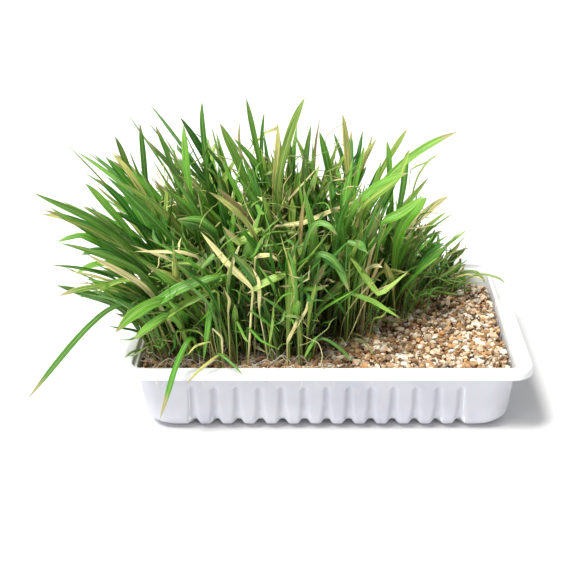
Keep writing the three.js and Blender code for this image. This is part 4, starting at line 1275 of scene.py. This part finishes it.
def makeLitterMaterial(name, colour, pale, count):
    material, tree, shader = newMaterial(name, 0.6, 0.4)
    across, along, seed = readMarks(tree, "leafPlace")
    lines = useGroup(tree, fibres, Across=across, Along=along, Seed=seed, Count=count)
    mask = times(tree, mapRange(tree, lines["Streaks"], 0.35, 0.65), 0.4)
    mask = calc(tree, "ADD", mask, times(tree, seed, 0.6))
    dark = tuple(0.55 * part for part in colour)
    lineMask = times(tree, lines["Lines"], 0.4)
    colour = mixColour(tree, lineMask, mixColour(tree, mask, colour, pale), dark)
    rough = timesPlus(tree, mask, 0.25, 0.5)
    setSurface(tree, shader, colour, rough, bump(tree, lines["Lines"], 0.4, 0.0002))
    return material


# The blades of every bunch: the given ones and those by the rule
def growBlades(places):
    blades = [[] for _ in places]
    random = np.random.default_rng(grass["seed"])
    for lead in leadBlades:
        index = nearest(places, lead[1])
        blade = leadBlade(lead, places[index])
        blades[index].append(finishBlade(blade, random, twist=grass["leadTwist"]))
    for index, place in enumerate(places):
        dense = min(1, float(standHeight(*place[:2])) / grass["thinAt"]) ** grass["thinning"]
        for kind in growth:
            for i in range(int(kind["count"] * (dense if kind.get("thins") else 1))):
                blade = clearBlade(kind, place, randomFrom(index * 100 + kind["seed"] + i))
                if blade:
                    blades[index].append(finishBlade(blade, random, **kind.get("finish", {})))
    for maker, leaves in ((bentLeaf, bentLeaves), (fallenLeaf, fallenLeaves)):
        for leaf in leaves:
            index = nearest(places, leaf[2][:2])
            blades[index].append(finishBlade(maker(leaf, places[index]), random, twist=0.1))
    return blades


def makeGrass():
    places = bunchPlaces()
    blades = growBlades(places)
    leaf = makeLeafMaterial()
    for index, inBunch in enumerate(blades):
        name = f"grassBunch{index + 1:02d}"
        points, faces, columns = joinParts([bladeMesh(blade) for blade in inBunch])
        marks = dict(zip(("leafPlace", "leafMood", "leafOther", "leafShade"), columns))
        piece = addObject(name, meshFrom(name, points, faces, marks, sharpAngle=40), leaf)
        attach(piece, "root")
        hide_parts(f"grass_bunch_{index + 1:02d}")
    print("grass:", sum(len(inBunch) for inBunch in blades), "blades in", len(places), "bunches")


def makeLitter():
    strip = [np.array([x, litter["stripY"], bed["level"]]) for x in range(*litter["strip"])]
    husk = makeLitterMaterial("husk", litter["husk"], litter["huskPale"], 3.0)
    root = makeLitterMaterial("root", litter["root"], litter["root"], 2.0)
    for name, material, maker, count in (("seeds", husk, seedMesh, litter["seedsInBunch"]),
                                         ("roots", root, rootMesh, litter["rootsInBunch"])):
        draw = randomFrom(4000 + count)
        parts = [maker(place, draw) for place in bunchPlaces() + strip for _ in range(count)]
        points, faces, (marks,) = joinParts(parts)
        piece = addObject(name, meshFrom(name, points, faces, {"leafPlace": marks}), material)
        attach(piece, "root")
        print(f"{name}:", len(parts))


# Stage

studio = {
    "floorColour": (0.86, 0.86, 0.86), "floorReach": 60000, "floorBelow": 0.0005,
    "floorPatches": {"Coarse": 6.0, "Fine": 60.0}, "patchTone": 0.985,
    "sky": (1.0, 1.0, 1.0), "skyStrength": 0.3,
    "focal": 70.2, "sensor": 36, "shiftX": -0.0676,
    "cameraPlace": (-0.0024, -0.6048, 0.3430), "cameraDown": 25,
    # where each light comes from, its strength, how wide it looks in degrees, its colour
    "suns": [
        ((-0.38, -0.26, 0.89), 4.25, 20, (1.0, 0.99, 0.96)),
        ((-0.80, -0.55, 0.26), 1.3, 30, (1.0, 1.0, 1.0)),
        ((0.5, 0.5, 0.7), 0.4, 45, (0.96, 0.98, 1.0)),
    ],
}


# Seen directly, the sky is as pale as the floor
def makeSky():
    world = bpy.data.worlds.new("studio")
    world.use_nodes = True
    tree = world.node_tree
    lit = tree.nodes["Background"]
    seen = addNode(tree, "ShaderNodeBackground")
    for background in (lit, seen):
        feed(tree, background.inputs["Color"], studio["sky"])
    lit.inputs["Strength"].default_value = studio["skyStrength"]
    both = addNode(tree, "ShaderNodeMixShader")
    inView = addNode(tree, "ShaderNodeLightPath").outputs["Is Camera Ray"]
    for slot, value in zip(both.inputs, (inView, lit.outputs[0], seen.outputs[0])):
        feed(tree, slot, value)
    feed(tree, tree.nodes["World Output"].inputs[0], both.outputs[0])
    return world


def makeFloor():
    reach, pale = studio["floorReach"], studio["floorColour"]
    corners = [(-reach, -reach, 0), (reach, -reach, 0), (reach, reach, 0), (-reach, reach, 0)]
    mesh = meshFrom("floor", np.array(corners, dtype=float), [[0, 1, 2, 3]], smooth=False)
    material, tree, shader = newMaterial("floor", 0.8, 0.2)
    marks = useGroup(tree, mottle, **studio["floorPatches"])
    low = tuple(studio["patchTone"] * part for part in pale)
    feed(tree, shader["Base Color"], mixColour(tree, marks["Patches"], pale, low))
    floor = addObject("floor", mesh, material)
    floor.location.z = -studio["floorBelow"]


def makeStage():
    scene = bpy.context.scene
    scene.view_settings.view_transform = "Standard"
    scene.view_settings.look = "None"
    scene.world = makeSky()
    makeFloor()
    for number, (source, strength, wide, colour) in enumerate(studio["suns"]):
        lamp = bpy.data.lights.new(f"sun{number}", "SUN")
        lamp.energy, lamp.angle, lamp.color = strength, math.radians(wide), colour
        holder = addObject(f"sun{number}", lamp)
        x, y, z = source
        holder.location = source
        holder.rotation_euler = (math.atan2(math.hypot(x, y), z), 0, math.atan2(y, x) + math.pi / 2)
    camera = bpy.data.cameras.new("camera")
    camera.lens, camera.sensor_width = studio["focal"], studio["sensor"]
    camera.shift_x, camera.clip_start = studio["shiftX"], 0.01
    holder = addObject("camera", camera)
    holder.location = studio["cameraPlace"]
    holder.rotation_euler = (math.radians(90 - studio["cameraDown"]), 0, 0)
    scene.camera = holder
    print("stage ready")


makeTray()
makeBed()
makeGrass()
makeLitter()
makeStage()
